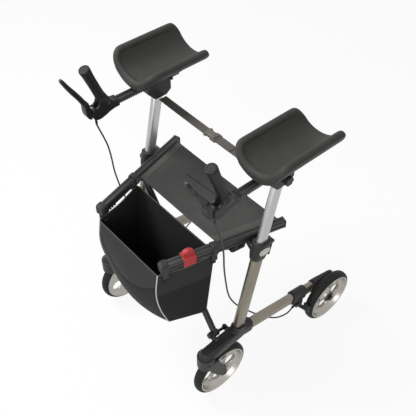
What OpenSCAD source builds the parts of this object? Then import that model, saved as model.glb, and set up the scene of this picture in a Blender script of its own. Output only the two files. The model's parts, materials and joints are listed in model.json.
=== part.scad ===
// Upright walker: a folding rollator with forearm supports, at its real size.
// Millimetres. +Z is up, the floor is z = 0, the bag faces -Y, and the user's left side is +X.
// The origin is on the floor, in the middle plane, halfway between the front and rear axles.
// Each side piece is made once for the left side, and the right side is its mirror image.

/* [Wheels] */
// Diameter of the four wheels
wheel_d = 200; // [185:1:212]
// Width of the tyres
tyre_w = 36; // [32:1:38]
// Radial thickness of the tyres
tyre_t = 14; // [11:1:18]
// Distance from the front axles to the rear axles
wheelbase = 474; // [460:1:490]
// Distance that a front axle trails behind its swivel axis
caster_trail = 56; // [50:1:60]
// Distance from the middle plane to the middle of a rear wheel
rear_track_half = 286; // [284:1:294]

/* [Side frames] */
// Distance from a side frame out to the middle of its rear wheel
wheel_outset = 34; // [32:1:40]
// Backward lean of the masts, and fall of the rails, in degrees
lean = 12; // [11:0.5:13]
// Length of the oval frame tubes' section, along the frame
tube_l = 42; // [38:1:44]
// Width of the oval frame tubes' section
tube_w = 26; // [24:1:28]
// Wall of the frame tubes and of the masts
tube_wall = 2; // [1.5:0.1:2.5]
// Height of the frame's knee above the wheels' tops
knee_rise = 35; // [33:1:42]
// Distance from the front axle back to the frame's knee
knee_back = 71; // [68:1:78]

/* [Seat and bag bars] */
// Height of the seat's surface above the floor
seat_h = 606; // [590:1:620]
// Distance from a side frame in to a bar's front end
bar_front_in = 110; // [106:1:116]
// Distance from a side frame in to a bar's rear end
bar_rear_in = 13; // [10:1:16]
// Place of the bars' front ends along the walker
bar_front_y = -355; // [-370:1:-345]
// Place of the bars' rear ends along the walker
bar_rear_y = 9; // [0:1:20]
// Width of a bar
bar_w = 24; // [20:1:26]
// Height of a bar
bar_h = 28; // [24:1:32]

/* [Bag] */
// Depth of the bag below the bars
bag_drop = 258; // [235:1:270]
// Thickness of the bag's padded wall
bag_wall = 3; // [2:0.5:5]

/* [Masts and arm supports] */
// Length of a mast's oval section
mast_l = 37; // [34:0.5:37]
// Width of a mast's oval section
mast_w = 21; // [18:0.5:21]
// Height of the arm bars' middle above the floor
arm_z = 850; // [835:1:870]
// Width of an arm bar
arm_w = 24; // [20:1:26]
// Thickness of an arm bar
arm_t = 14; // [12:1:16]
// Outer radius of a forearm trough's half pipe
trough_r = 88; // [82:1:92]
// Thickness of a trough's pad at its rims
trough_t = 17; // [14:1:20]
// Thickness of a trough's pad under the forearm
trough_floor = 28; // [22:1:32]
// Length of a trough
trough_len = 252; // [235:1:265]

/* [Handles and brakes] */
// Length of a hand grip
grip_len = 118; // [100:1:125]
// Diameter of a hand grip at its middle
grip_d = 29; // [27:1:33]
// Forward lean of the grips, in degrees
grip_lean = 20; // [15:1:22]
// Diameter of a brake cable
cable_d = 4.5; // [4:0.1:5]

/* [Hidden] */
$fn = 48;
// Overrun of every cut past the face it starts from
over = 1;
// Radial clearance of a pin in its bore
run_gap = 0.05;
// Clearance between pieces that slide or swing past each other
slide_gap = 0.4;
// Clearance between fixed pieces that are fitted together
seat_gap = 0.1;
// Side clearance of a hinge eye between its lugs
side_gap = 0.5;
// Facets of a hull's round children
hull_fn = 32;

// Wheels and casters
wheel_r = wheel_d / 2;
rim_r = wheel_r - tyre_t;
rim_w = tyre_w - 4 * seat_gap;
tyre_corner_share = 0.8;
tyre_corner = tyre_t * tyre_corner_share;
rim_ring_t = 6;
rim_web_t = 8;
rim_web_in = 5;
rim_draft = 6;
hub_r = 19;
hub_side = 1;
axle_r = 6;
lobe_count = 5;
lobe_r_share = 0.335;
lobe_at_share = 0.51;
front_axle_y = -wheelbase / 2;
rear_axle_y = wheelbase / 2;
swivel_y = front_axle_y - caster_trail;
well_gap = 3;
fork_arm_t = 8;
fork_arm_gap = 3;
fork_crown_r = 27;
crown_rise = 11;
fork_crown_top = wheel_d + crown_rise;
fork_axle_r = 12;
fork_shoulder_y = front_axle_y - caster_trail / 3;
stem_r = 7;
stem_len = 22;
fork_side = tyre_w / 2 + fork_arm_gap;
cover_t = 2;

// Side frame: the knee is where a mast's axis crosses its rail's axis
side_x = rear_track_half - wheel_outset;
knee_y = front_axle_y + knee_back;
knee_z = wheel_d + knee_rise;
knee = [side_x, knee_y, knee_z];
socket_wall = 5;
socket_up = 32;
socket_back = 55;
socket_down = 20;
nose_gap = 1;
nose_r = 23;
nose_h = 32;
nose_side = 18;
nose_top_r = 14;
nose_low = fork_crown_top + cover_t + nose_gap;
rail_short = 31;
rail_len = (rear_axle_y - rail_short - knee_y) / cos(lean);
upright_start = -10;

// Fold hinges: the lower ones lie inside the castings and the upper ones under the bars
hinge_in = 36;
hinge_fwd = 46;
hinge_drop = 5;
pin_r = 5;
eye_r = 11;
eye_half = 11;
brace_r = 10;
brace_wall = 1.5;
brace_off = 14;
lug_t = 9;
lug_gap = eye_half + side_gap;
pivot_drop = 18;
pin_head_r = 9;
pin_head_t = 4;
boss_r = 13;
boss_gap = 0.3;

// Bars: straight, closer together at the front
seat_sink = 8;
bar_z = seat_h + seat_sink - bar_h / 2;
bar_front_x = side_x - bar_front_in;
bar_rear_x = side_x - bar_rear_in;
bar_slope = (bar_rear_x - bar_front_x) / (bar_rear_y - bar_front_y);
bar_turn = atan(bar_slope);
bar_len = (bar_rear_y - bar_front_y) / cos(bar_turn);
bar_wall = 2.5;
bar_corner = 5;
groove_w = 6;
groove_d = 1.5;
cap_t = 5;
ring_wall = 3.5;
ring_len = 17;
hook_drop = 27;
hook_t = 8;
hook_off = 1;
hook_low = -bar_h / 2 - ring_wall - hook_drop + over;
hook_reach = 12;
front_ring_in = 8;
ring_ahead = 61;
latch_back = 68;
front_ring_y = bar_front_y + front_ring_in;
latch_y = front_ring_y + latch_back;
latch_len = 38;
latch_rise = 2;
latch_tab_t = 14;
latch_wall = 4;
latch_rib = 1;
latch_rib_count = 7;
bump_count = 4;
bump_r = 4;
bump_pitch = 10;
bump_start = 22;

// The lower hinge in the part frame, and the upper pivot straight above it along the mast
hinge_y = knee_y - hinge_fwd * cos(lean) - hinge_drop * sin(lean);
hinge_z = knee_z + hinge_fwd * sin(lean) - hinge_drop * cos(lean);
hinge_x = side_x - hinge_in;
pivot_z = bar_z - bar_h / 2 - pivot_drop;
brace_rise = (pivot_z - hinge_z) / cos(lean);
pivot_y = hinge_y + brace_rise * sin(lean);
pivot_x = bar_x(pivot_y);
rear_ring_y = pivot_y - ring_ahead;
brace_dx = hinge_x + pivot_x;
brace_len = norm([brace_dx, brace_rise]);
brace_turn = atan2(brace_rise, brace_dx);
cross_at = brace_len * hinge_x / brace_dx;

// Collar at the top of the outer tube
collar_over_bar = 4;
collar_h = 62;
collar_guide = 30;
collar_top = (bar_z - knee_z) / cos(lean) + collar_over_bar;
collar_low = collar_top - collar_h;
upright_top = collar_top - collar_guide;
collar_wall_low = 4;
collar_wall_top = 7.5;
collar_band = 42;
shelf_t = 8;
shelf_len = 38;
shelf_fwd = 14;
shelf_y = knee_y + (bar_z - knee_z) * tan(lean) - shelf_fwd;
shelf_gap = 0.3;
shelf_lip = 6;
shelf_lip_t = 5;
rib_t = 6;
rib_drop = 46;
rib_pitch = 20;
rib_window_share = 0.45;
badge_l = 44;
badge_w = 24;
badge_t = 1.6;
badge_drop = 25;
badge_rim = 3;
lever_w = 22;
lever_t = 7;
lever_len = 52;
lever_pin_r = 3;
lever_knuckle_r = 6;
ear_t = 4;

// Mast and clamp
clamp_mid_drop = 38;
mast_y = knee_y + (arm_z - clamp_mid_drop - knee_z) * tan(lean);
clamp_drop = 58;
clamp_low = arm_z - clamp_drop;
mast_in = 8;
mast_top = (clamp_low + mast_in - knee_z) / cos(lean);
mast_foot = 24;
clamp_w = 46;
clamp_fwd = 50;
clamp_back = 38;
clamp_over_arm = 16;
clamp_top = arm_z + clamp_over_arm;
clamp_foot_fwd = 24;
clamp_foot_back = 20;
clamp_cheek = 32;
clamp_heel = 16;
clamp_plug = 30;
plate_w = 74;
plate_len = 130;
plate_t = 4;
plate_fwd = 57;
plate_y = mast_y - plate_fwd;
wing_t = 8;
wing_h = 16;
arm_back = 75;
arm_rear_y = mast_y + arm_back;
arm_groove_w = 9;
arm_groove_d = 2;
tooth_pitch = 6;
tooth_w = 3;
tooth_h = 4;
tooth_d = 3;
knob_r = 14;
knob_t = 16;
knob_lobe_count = 6;
knob_lobe_r = 4;
knob_pin_r = 4;
knob_pin_len = 14;
knob_drop = 20;
knob_z = arm_z - knob_drop;
knob_gap = 0.4;
strap_drop = 51;
strap_z = arm_z - strap_drop;

// Trough: a half pipe along Y whose walls sweep down to a lip at the front
pad_gap = 0.3;
trough_base = clamp_top + plate_t + pad_gap;
trough_flat = 3;
trough_back = 143;
trough_rear = mast_y + trough_back;
trough_front = trough_rear - trough_len;
roll_turn = 7;
wall_turn = 78;
lip_turn = 40;
rear_turn = 44;
trough_corner = 58;
trough_rear_corner = 26;
lip_rise = 4;
trough_axis_z = trough_base + trough_r - trough_flat;
trough_station_count = 19;
trough_span_count = 12;
rim_shares = [0, 0.5, 0.8, 0.98];

// Backrest strap
strap_w = 27;
strap_t = 1.8;
buckle_x = -4;
buckle_l = 49;
buckle_w = 31;
buckle_t = 9;
strap_end = side_x - clamp_w / 2 - seat_gap;

// Handle, grip and brake lever
sleeve_len = 52;
sleeve_wall = 4;
handle_ahead = 80;
arm_front_y = trough_front - handle_ahead;
sleeve_on_arm = 46;
sleeve_rear_y = arm_front_y + sleeve_on_arm;
grip_y = arm_front_y;
grip_rise = 22;
grip_z = arm_z + grip_rise;
core_r = 9;
core_root = 8;
core_wall_gap = 0.2;
grip_base_r = 17;
grip_top_r = 16;
grip_rim = 3;
dimple_r = 5;
dimple_d = 3;
grip_swell = 0.5;
head_ahead = 49;
head_drop = 2;
head_y = arm_front_y - head_ahead;
head_z = arm_z - head_drop;
head_r = 21;
head_w = 30;
neck_r = 15;
exit_ahead = 30;
exit_drop = 34;
exit_y = arm_front_y - exit_ahead;
exit_z = arm_z - exit_drop;
exit_r = 6;
exit_len = 14.2;
lever_ahead = 56;
lever_rise = 16;
lever_y = arm_front_y - lever_ahead;
lever_z = arm_z + lever_rise;
lever_root_r = 9;
lever_slot_w = 15;
blade_w = 23;
blade_t = 8;
blade_neck_share = 0.35;
blade_mid_ahead = 16;
blade_mid_rise = 59;
blade_top_ahead = 60;
blade_top_rise = 124;
blade_mid_y = lever_y - blade_mid_ahead;
blade_mid_z = lever_z + blade_mid_rise;
blade_neck_y = lever_y - blade_mid_ahead * blade_neck_share;
blade_neck_z = lever_z + blade_mid_rise * blade_neck_share;
blade_top_y = lever_y - blade_top_ahead;
blade_top_z = lever_z + blade_top_rise;
hand_pin_r = 3;

// Brake on the rear wheel
brake_inset = 4;
brake_from_end = wheel_r - brake_inset;
brake_at = rail_len - brake_from_end;
brake_len = 62;
brake_wall = 5;
brake_pin_back = 14;
brake_pin_drop = 38;
brake_pin_y = leaning([0, brake_at + brake_pin_back, -brake_pin_drop]).y;
brake_pin_z = leaning([0, brake_at + brake_pin_back, -brake_pin_drop]).z;
brake_pin_r = 4;
brake_eye_r = 9;
brake_ear_t = 7;
shoe_turn = 12;
shoe_span = 14;
shoe_gap = 2.9;
shoe_t = 8;
shoe_w = 26;
adjust_out = 12;
adjust_ahead = 38;
adjust_up = 4;
adjust_x = side_x + adjust_out;
adjust_y = brake_pin_y - adjust_ahead;
adjust_z = brake_pin_z + adjust_up;
adjust_rise = 31;
adjust_r = 4.5;
adjust_len = 22;

// Rear bracket that carries the axle inside the wheel
bracket_grip = 22;
bracket_start = rail_len - bracket_grip;
guard_back = 19;
guard_up = 56;
bracket_guard_y = rear_axle_y + guard_back;
bracket_guard_z = wheel_r + guard_up;
bracket_guard_r = 31;
bracket_guard_t = 9;
bracket_boss_r = 24;
bracket_in = 16;
bracket_gap = 4;
axle_head_r = 11;
axle_head_t = 4;

// Seat and bag
seat_t = 3;
seat_behind_ring = 17;
seat_short = 5;
seat_front_y = rear_ring_y + seat_behind_ring;
seat_rear_y = bar_rear_y - seat_short;
seat_gap_side = 0.4;
bag_hang = 17;
bag_top = bar_z - bar_h / 2 - bag_hang;
bag_bottom = bag_top - bag_drop;
bag_behind_ring = 5;
bag_ahead = 9;
bag_rear_in = 34;
bag_front_in = 30;
bag_side_in = 3;
bag_rear_top_y = rear_ring_y + bag_behind_ring;
bag_rear_low_y = bag_rear_top_y - bag_rear_in;
bag_front_top_y = bar_front_y - bag_ahead;
bag_front_low_y = bag_front_top_y + bag_front_in;
bag_rear_half = bar_x(bag_rear_top_y) - bag_side_in;
bag_front_half = bar_x(bag_front_top_y) - bag_side_in;
bag_foot_inset = 26;
bag_bulge = 15;
bag_corner = 16;

// Brake cable: its ends follow the handle and the adjuster, and points by hand in the leaning frame
// lead it down the left side
cable_gap = 0.5;
cable_mouth = [side_x, exit_y, exit_z - exit_len - cable_gap];
cable_end = [adjust_x, adjust_y, adjust_z];
cable_mouth_steps = [[0, 0, 0], [0, 4, -16]];
cable_end_steps = [[-3, -28, -13], [0, -14, -8], [0, 0, 0]];
cable_route = [
  [0, -184, 482], [0, -166, 445], [0, -150, 398], [-1, -137, 349], [-3, -121, 306],
  [-6, -104, 264], [-11, -83, 217], [-16, -58, 172], [-19, -27, 129], [-21, 8, 89],
  [-21, 44, 53], [-21, 85, 15], [-19, 120, -16], [-14, 156, -43], [-6, 186, -60],
  [2, 212, -65]];
cable_points = concat(
  [for (p = cable_mouth_steps) cable_mouth + p], [for (p = cable_route) leaning(p)],
  [for (p = cable_end_steps) cable_end + p]);
cable_side_count = 8;
cable_ring_count = 3;

black = "#2b2b2b";
charcoal = "#424240";
champagne = "#8d8676";
silver = "#b9b9b9";
cloth = "#474746";
red = "#9f3a3a";

// Distance of a bar's middle line from the middle plane, at a place along the walker
function bar_x(y) = bar_front_x + (y - bar_front_y) * bar_slope;

// A point of the leaning frame, given from its knee, in the part's own frame
function leaning(p) = knee + [p.x, p.y * cos(lean) + p.z * sin(lean), p.z * cos(lean) - p.y * sin(lean)];

// Smooth step from 0 to 1
function ease(t) = let (c = min(1, max(0, t))) c * c * (3 - 2 * c);

// A point on a smooth curve through four points, between the middle two
function curve_at(a, b, c, d, t) =
  0.5 * (2 * b + (c - a) * t + (2 * a - 5 * b + 4 * c - d) * t * t + (3 * b - a - 3 * c + d) * t * t * t);

// A route's points, with others between them on one smooth curve
function smooth_route(pts, n) = let (last = len(pts) - 1) concat(
  [for (i = [0:last - 1], k = [0:n - 1])
    curve_at(pts[max(0, i - 1)], pts[i], pts[i + 1], pts[min(last, i + 2)], k / n)],
  [pts[last]]);

function unit(v) = v / norm(v);

// Moves to the knee and leans with the frame: Y runs back along the rail and Z up the mast
module leaned() {
  translate(knee) rotate([-lean, 0, 0]) children();
}

// Turns a shape that stands along Z so that it lies along X
module along_x() {
  rotate([0, 90, 0]) children();
}

// Turns a shape that stands along Z so that it lies along Y
module along_y() {
  rotate([-90, 0, 0]) children();
}

// Oval section with its length along Y
module oval(l, w) {
  square([w, l - w], center = true);
  for (s = [-1, 1]) translate([0, s * (l - w) / 2]) circle(d = w);
}

// Square with rounded corners, from circles and squares
module rounded_square(w, h, r) {
  square([w - 2 * r, h], center = true);
  square([w, h - 2 * r], center = true);
  for (sx = [-1, 1], sy = [-1, 1]) translate([sx * (w / 2 - r), sy * (h / 2 - r)]) circle(r);
}

// Tube of oval section along Z
module oval_tube(l, w, wall, h) {
  linear_extrude(h) difference() {
    oval(l, w);
    oval(l - 2 * wall, w - 2 * wall);
  }
}

// Cylinder along X, given by its middle and its length
module bar_along_x(r, l) {
  along_x() cylinder(r = r, h = l, center = true);
}

// Casting: knee of the frame, with sockets for the upright and the rail, the caster's nose
// and the two lugs of the brace hinge
module casting() {
  socket_l = tube_l + 2 * socket_wall;
  socket_w = tube_w + 2 * socket_wall;
  lug_reach = hinge_in - socket_w / 4;
  color(black) difference() {
    union() {
      hull() {
        translate([side_x, swivel_y, nose_low]) cylinder(r = nose_r, h = nose_side, $fn = hull_fn);
        translate([side_x, swivel_y, nose_low + nose_side])
          cylinder(r = nose_top_r, h = nose_h - nose_side, $fn = hull_fn);
        leaned() bar_along_x(socket_down, socket_w, $fn = hull_fn);
      }
      leaned() linear_extrude(socket_up) oval(socket_l, socket_w);
      leaned() along_y() linear_extrude(socket_back) oval(socket_l, socket_w);
      for (y = [-hinge_fwd - brace_off - lug_gap - lug_t, -hinge_fwd + brace_off + lug_gap])
        leaned() translate([-hinge_in, y, -hinge_drop]) {
          along_y() cylinder(r = eye_r, h = lug_t);
          translate([0, 0, -eye_r]) cube([lug_reach, lug_t, 2 * eye_r]);
        }
    }
    leaned() translate([0, 0, upright_start]) linear_extrude(socket_up - upright_start + over)
      oval(tube_l + 2 * seat_gap, tube_w + 2 * seat_gap);
    leaned() along_y() translate([0, 0, tube_l / 2 + seat_gap]) linear_extrude(socket_back)
      oval(tube_l + 2 * seat_gap, tube_w + 2 * seat_gap);
    translate([side_x, swivel_y, nose_low - over]) cylinder(r = stem_r + run_gap, h = stem_len + over);
    leaned() translate([-hinge_in, -hinge_fwd - brace_off - lug_gap - lug_t - over, -hinge_drop])
      along_y() cylinder(r = pin_r + seat_gap, h = 2 * (brace_off + lug_gap + lug_t + over));
  }
}

// Upright: the oval outer tube that the mast slides in
module upright() {
  color(champagne) leaned() translate([0, 0, upright_start + seat_gap])
    oval_tube(tube_l, tube_w, tube_wall, upright_top - upright_start - 2 * seat_gap);
}

// Rail: the oval tube from the casting back to the rear bracket
module rail() {
  color(champagne) leaned() along_y() translate([0, 0, tube_l / 2 + 2 * seat_gap])
    oval_tube(tube_l, tube_w, tube_wall, rail_len - tube_l / 2);
}

// Collar: caps the outer tube, guides the mast, and carries the shelf for the seat bar
module collar() {
  low_l = tube_l + 2 * collar_wall_low;
  low_w = tube_w + 2 * collar_wall_low;
  top_l = tube_l + 2 * collar_wall_top;
  top_w = tube_w + 2 * collar_wall_top;
  shelf_z = bar_z - bar_h / 2 - shelf_gap;
  shelf_end = side_x - low_w / 4;
  shelf_tip = bar_x(shelf_y) - bar_w / 2 - shelf_lip_t - side_gap;
  ear_y = top_l / 2 + lever_knuckle_r;
  color(black) difference() {
    union() {
      hull() {
        leaned() translate([0, 0, collar_low]) linear_extrude(collar_wall_low)
          oval(low_l, low_w, $fn = hull_fn);
        leaned() translate([0, 0, collar_top - collar_band]) linear_extrude(collar_band)
          oval(top_l, top_w, $fn = hull_fn);
      }
      leaned() translate([tube_w / 2, 0, collar_top - badge_drop]) along_x()
        linear_extrude(collar_wall_top) oval(badge_l + badge_rim, badge_w + badge_rim);
      translate([shelf_tip, shelf_y, shelf_z - shelf_t]) cube([shelf_end - shelf_tip, shelf_len, shelf_t]);
      shelf_lip_bar();
      for (y = [shelf_y, shelf_y + rib_pitch]) translate([0, y + rib_t, shelf_z - shelf_t])
        rotate([90, 0, 0]) linear_extrude(rib_t) difference() {
          polygon([[shelf_tip, 0], [shelf_end, 0], [shelf_end, -rib_drop]]);
          translate([shelf_end - low_w / 2, -rib_drop * rib_window_share / 2]) circle(rib_t);
        }
      for (s = [-1, 1]) leaned() translate([s * (lever_w / 2 + side_gap + ear_t / 2), ear_y,
          collar_top - lever_knuckle_r]) {
        bar_along_x(lever_knuckle_r, ear_t);
        translate([0, -lever_knuckle_r, 0])
          cube([ear_t, 2 * lever_knuckle_r, 2 * lever_knuckle_r], center = true);
      }
      leaned() translate([0, ear_y, collar_top - lever_knuckle_r])
        bar_along_x(lever_pin_r, lever_w + 2 * ear_t + 2 * side_gap);
    }
    leaned() translate([0, 0, collar_low - rib_drop]) linear_extrude(upright_top - collar_low + rib_drop)
      oval(tube_l + 2 * seat_gap, tube_w + 2 * seat_gap);
    leaned() translate([0, 0, upright_top - over]) linear_extrude(collar_top - upright_top + 2 * over)
      oval(mast_l + 2 * slide_gap, mast_w + 2 * slide_gap);
  }
}

// Lip along the shelf's inner edge, which keeps the seat bar from sliding inwards
module shelf_lip_bar() {
  z = bar_z - bar_h / 2 - shelf_gap - shelf_t;
  translate([bar_x(shelf_y), shelf_y, z]) rotate([0, 0, -bar_turn])
    translate([-bar_w / 2 - side_gap - shelf_lip_t, 0, 0])
      cube([shelf_lip_t, shelf_len, shelf_t + shelf_lip]);
}

// Badge: a bare oval plate on the collar's outer face
module badge() {
  color(silver) leaned() translate([tube_w / 2 + collar_wall_top, 0, collar_top - badge_drop]) along_x()
    linear_extrude(badge_t) oval(badge_l, badge_w);
}

// Rear bracket: socket on the rail's end, guard beside the wheel, and the axle
module rear_bracket() {
  inner = side_x - bracket_in;
  outer = rear_track_half - tyre_w / 2 - bracket_gap;
  socket_l = tube_l + 2 * collar_wall_low;
  color(black) difference() {
    union() {
      hull() {
        leaned() along_y() translate([0, 0, bracket_start]) linear_extrude(rail_len - bracket_start)
          oval(socket_l, 2 * bracket_in, $fn = hull_fn);
        translate([outer - bracket_guard_t, bracket_guard_y, bracket_guard_z]) along_x()
          cylinder(r = bracket_guard_r, h = bracket_guard_t, $fn = hull_fn);
        translate([inner, rear_axle_y, wheel_r]) along_x()
          cylinder(r = bracket_boss_r, h = outer - inner, $fn = hull_fn);
      }
      translate([outer - over, rear_axle_y, wheel_r]) along_x()
        cylinder(r = axle_head_r, h = over + bracket_gap - hub_side - side_gap);
      translate([rear_track_half + tyre_w / 2 + hub_side + side_gap, rear_axle_y, wheel_r]) along_x()
        cylinder(r = axle_head_r, h = axle_head_t);
      translate([inner, rear_axle_y, wheel_r]) along_x()
        cylinder(r = axle_r, h = rear_track_half + tyre_w / 2 + hub_side + side_gap + over - inner);
    }
    leaned() along_y() translate([0, 0, bracket_start - over])
      linear_extrude(rail_len + seat_gap - bracket_start + over + tube_wall)
        oval(tube_l + 2 * seat_gap, tube_w + 2 * seat_gap);
  }
}

// Brake mount: sleeve on the rail with the brake arm's ears and the cable's adjuster
module brake_mount() {
  sleeve_l = tube_l + 2 * brake_wall;
  sleeve_w = tube_w + 2 * brake_wall;
  ear_x = side_x - brake_ear_t - eye_half - side_gap;
  color(black) difference() {
    union() {
      leaned() along_y() translate([0, 0, brake_at - brake_len / 2]) linear_extrude(brake_len)
        oval(sleeve_l, sleeve_w);
      for (x = [ear_x, side_x + eye_half + side_gap]) {
        translate([x, brake_pin_y, brake_pin_z]) along_x() cylinder(r = brake_eye_r, h = brake_ear_t);
        translate([x, brake_pin_y - brake_eye_r, brake_pin_z])
          cube([brake_ear_t, 2 * brake_eye_r, sleeve_l / 2]);
      }
      translate([ear_x, brake_pin_y, brake_pin_z]) along_x()
        cylinder(r = brake_pin_r, h = 2 * (brake_ear_t + eye_half + side_gap));
      translate([adjust_x, adjust_y, adjust_z]) rotate([adjust_rise - 90, 0, 0])
        translate([0, 0, cable_gap]) cylinder(r = adjust_r, h = adjust_len);
      translate([side_x + eye_half + side_gap, adjust_y + adjust_len / 2, adjust_z + adjust_r / 2])
        cube([brake_ear_t + adjust_r, brake_pin_y - adjust_y - adjust_len / 2, 3 * adjust_r]);
    }
    leaned() along_y() translate([0, 0, brake_at - brake_len / 2 - over])
      linear_extrude(brake_len + 2 * over)
        oval(tube_l + 2 * seat_gap, tube_w + 2 * seat_gap);
  }
}

// Brake arm: swings on the mount's pin and presses its shoe on the tyre
module brake_arm() {
  shoe_in = rear_track_half - shoe_w / 2;
  shoe_y = rear_axle_y - (wheel_r + shoe_gap + shoe_t / 2) * cos(shoe_turn);
  shoe_z = wheel_r + (wheel_r + shoe_gap + shoe_t / 2) * sin(shoe_turn);
  arm_low = side_x - eye_half;
  arm_knee_z = brake_pin_z - 2 * brake_eye_r;
  color(black) difference() {
    union() {
      translate([arm_low, brake_pin_y, brake_pin_z]) along_x()
        cylinder(r = brake_eye_r, h = 2 * eye_half);
      translate([arm_low, brake_pin_y - shoe_t / 2, arm_knee_z])
        cube([2 * eye_half, shoe_t, brake_pin_z - arm_knee_z]);
      hull() {
        translate([arm_low, brake_pin_y, arm_knee_z]) along_x()
          cylinder(r = shoe_t / 2, h = 2 * eye_half, $fn = hull_fn);
        translate([arm_low, shoe_y, shoe_z - shoe_span]) along_x()
          cylinder(r = shoe_t / 2, h = shoe_in + shoe_w - arm_low, $fn = hull_fn);
      }
      hull() for (s = [-1, 1]) translate([shoe_in, rear_axle_y, wheel_r])
        rotate([180 - shoe_turn + s * shoe_span / 3, 0, 0])
          translate([0, wheel_r + shoe_gap + shoe_t / 2, 0]) along_x()
            cylinder(r = shoe_t / 2, h = shoe_w, $fn = hull_fn);
    }
    translate([arm_low - over, brake_pin_y, brake_pin_z]) along_x()
      cylinder(r = brake_pin_r + run_gap, h = 2 * (eye_half + over));
    translate([shoe_in - over, rear_axle_y, wheel_r]) along_x()
      cylinder(r = wheel_r + shoe_gap, h = shoe_w + 2 * over);
  }
}

// Hinge rod: the pin of the brace's lower hinge
module hinge_rod() {
  reach = brace_off + lug_gap + lug_t;
  color(champagne) leaned() translate([-hinge_in, -hinge_fwd - reach - pin_head_t, -hinge_drop]) {
    along_y() cylinder(r = pin_r, h = 2 * reach + pin_head_t);
    along_y() cylinder(r = pin_head_r, h = pin_head_t);
  }
}

// Cable: one tube swept along its route
module cable() {
  sides = cable_side_count;
  pts = smooth_route(cable_points, cable_ring_count);
  last = len(pts) - 1;
  points = [for (i = [0:last])
    let (
      t = unit(pts[min(last, i + 1)] - pts[max(0, i - 1)]),
      n = unit(cross(t, [1, 0, 0])),
      b = cross(t, n))
    for (k = [0:sides - 1])
      pts[i] + cable_d / 2 * (cos(360 * k / sides) * n + sin(360 * k / sides) * b)];
  faces = concat(
    [for (i = [0:last - 1], k = [0:sides - 1])
      [i * sides + k, i * sides + (k + 1) % sides, (i + 1) * sides + k]],
    [for (i = [0:last - 1], k = [0:sides - 1])
      [i * sides + (k + 1) % sides, (i + 1) * sides + (k + 1) % sides,
       (i + 1) * sides + k]],
    [for (k = [1:sides - 2]) [0, k + 1, k]],
    [for (k = [1:sides - 2]) [last * sides, last * sides + k, last * sides + k + 1]]);
  color("#1e1e1e") polyhedron(points = points, faces = faces);
}

// Fork: swivels under the casting's nose and holds the front wheel's axle
module fork() {
  color(black) difference() {
    union() {
      hull() {
        translate([side_x, swivel_y, fork_crown_top - fork_crown_r / 2])
          cylinder(r = fork_crown_r, h = fork_crown_r / 2, $fn = hull_fn);
        translate([side_x, fork_shoulder_y, wheel_d - tyre_t])
          bar_along_x(fork_crown_r / 2, 2 * (fork_side + fork_arm_t), $fn = hull_fn);
        translate([side_x, swivel_y, wheel_r + fork_crown_r * 2])
          bar_along_x(fork_crown_r / 2, 2 * (fork_side + fork_arm_t), $fn = hull_fn);
      }
      for (s = [-1, 1]) hull() {
        translate([side_x + s * (fork_side + fork_arm_t / 2), front_axle_y, wheel_r])
          bar_along_x(fork_axle_r, fork_arm_t, $fn = hull_fn);
        translate([side_x + s * (fork_side + fork_arm_t / 2), fork_shoulder_y, wheel_d - tyre_t])
          bar_along_x(fork_crown_r / 2, fork_arm_t, $fn = hull_fn);
        translate([side_x + s * (fork_side + fork_arm_t / 2), swivel_y, wheel_r + fork_crown_r * 2])
          bar_along_x(fork_crown_r / 2, fork_arm_t, $fn = hull_fn);
      }
    }
    translate([side_x, front_axle_y, wheel_r]) bar_along_x(wheel_r + well_gap, 2 * fork_side);
    translate([side_x, swivel_y, fork_crown_top]) cylinder(r = wheel_d, h = wheel_d);
  }
  color(black) {
    translate([side_x, swivel_y, fork_crown_top]) cylinder(r = nose_r - cover_t, h = cover_t);
    translate([side_x, swivel_y, fork_crown_top])
      cylinder(r = stem_r, h = cover_t + nose_gap + stem_len - over);
    translate([side_x, front_axle_y, wheel_r]) bar_along_x(axle_r, 2 * (fork_side + fork_arm_t));
  }
}

// Rim: hub, dished web with round lobes cut out, and the ring under the tyre
module rim(x, y) {
  hub_half = rim_w / 2 + hub_side;
  ring_out = rim_r - pad_gap;
  ring_in = ring_out - rim_ring_t;
  web_low = rim_web_in - rim_w / 2;
  mid_r = hub_r + (ring_in - hub_r) * lobe_at_share;
  lobe_r = (ring_in - hub_r) * lobe_r_share;
  color(silver) translate([x, y, wheel_r]) difference() {
    along_x() rotate_extrude() polygon([
      [axle_r + run_gap, -hub_half], [axle_r + run_gap, hub_half], [hub_r, hub_half],
      [hub_r, web_low + rim_web_t], [ring_in - rim_draft, web_low + rim_web_t],
      [ring_in, rim_w / 2], [ring_out, rim_w / 2],
      [ring_out, -rim_w / 2], [ring_in, -rim_w / 2], [ring_in - rim_draft, web_low], [hub_r, web_low],
      [hub_r, -hub_half]]);
    for (k = [0:lobe_count - 1]) rotate([360 * (k + 0.5) / lobe_count, 0, 0]) translate([0, 0, mid_r])
      bar_along_x(lobe_r, wheel_d);
  }
}

// Tyre: a band with rounded shoulders
module tyre(x, y) {
  color("#343434") translate([x, y, wheel_r]) along_x() rotate_extrude() difference() {
    union() {
      translate([rim_r, -tyre_w / 2]) square([tyre_t - tyre_corner, tyre_w]);
      translate([rim_r, tyre_corner - tyre_w / 2]) square([tyre_t, tyre_w - 2 * tyre_corner]);
      for (s = [-1, 1]) translate([wheel_r - tyre_corner, s * (tyre_w / 2 - tyre_corner)]) circle(tyre_corner);
    }
    translate([0, -tyre_w]) square([rim_r, 2 * tyre_w]);
  }
}

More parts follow.
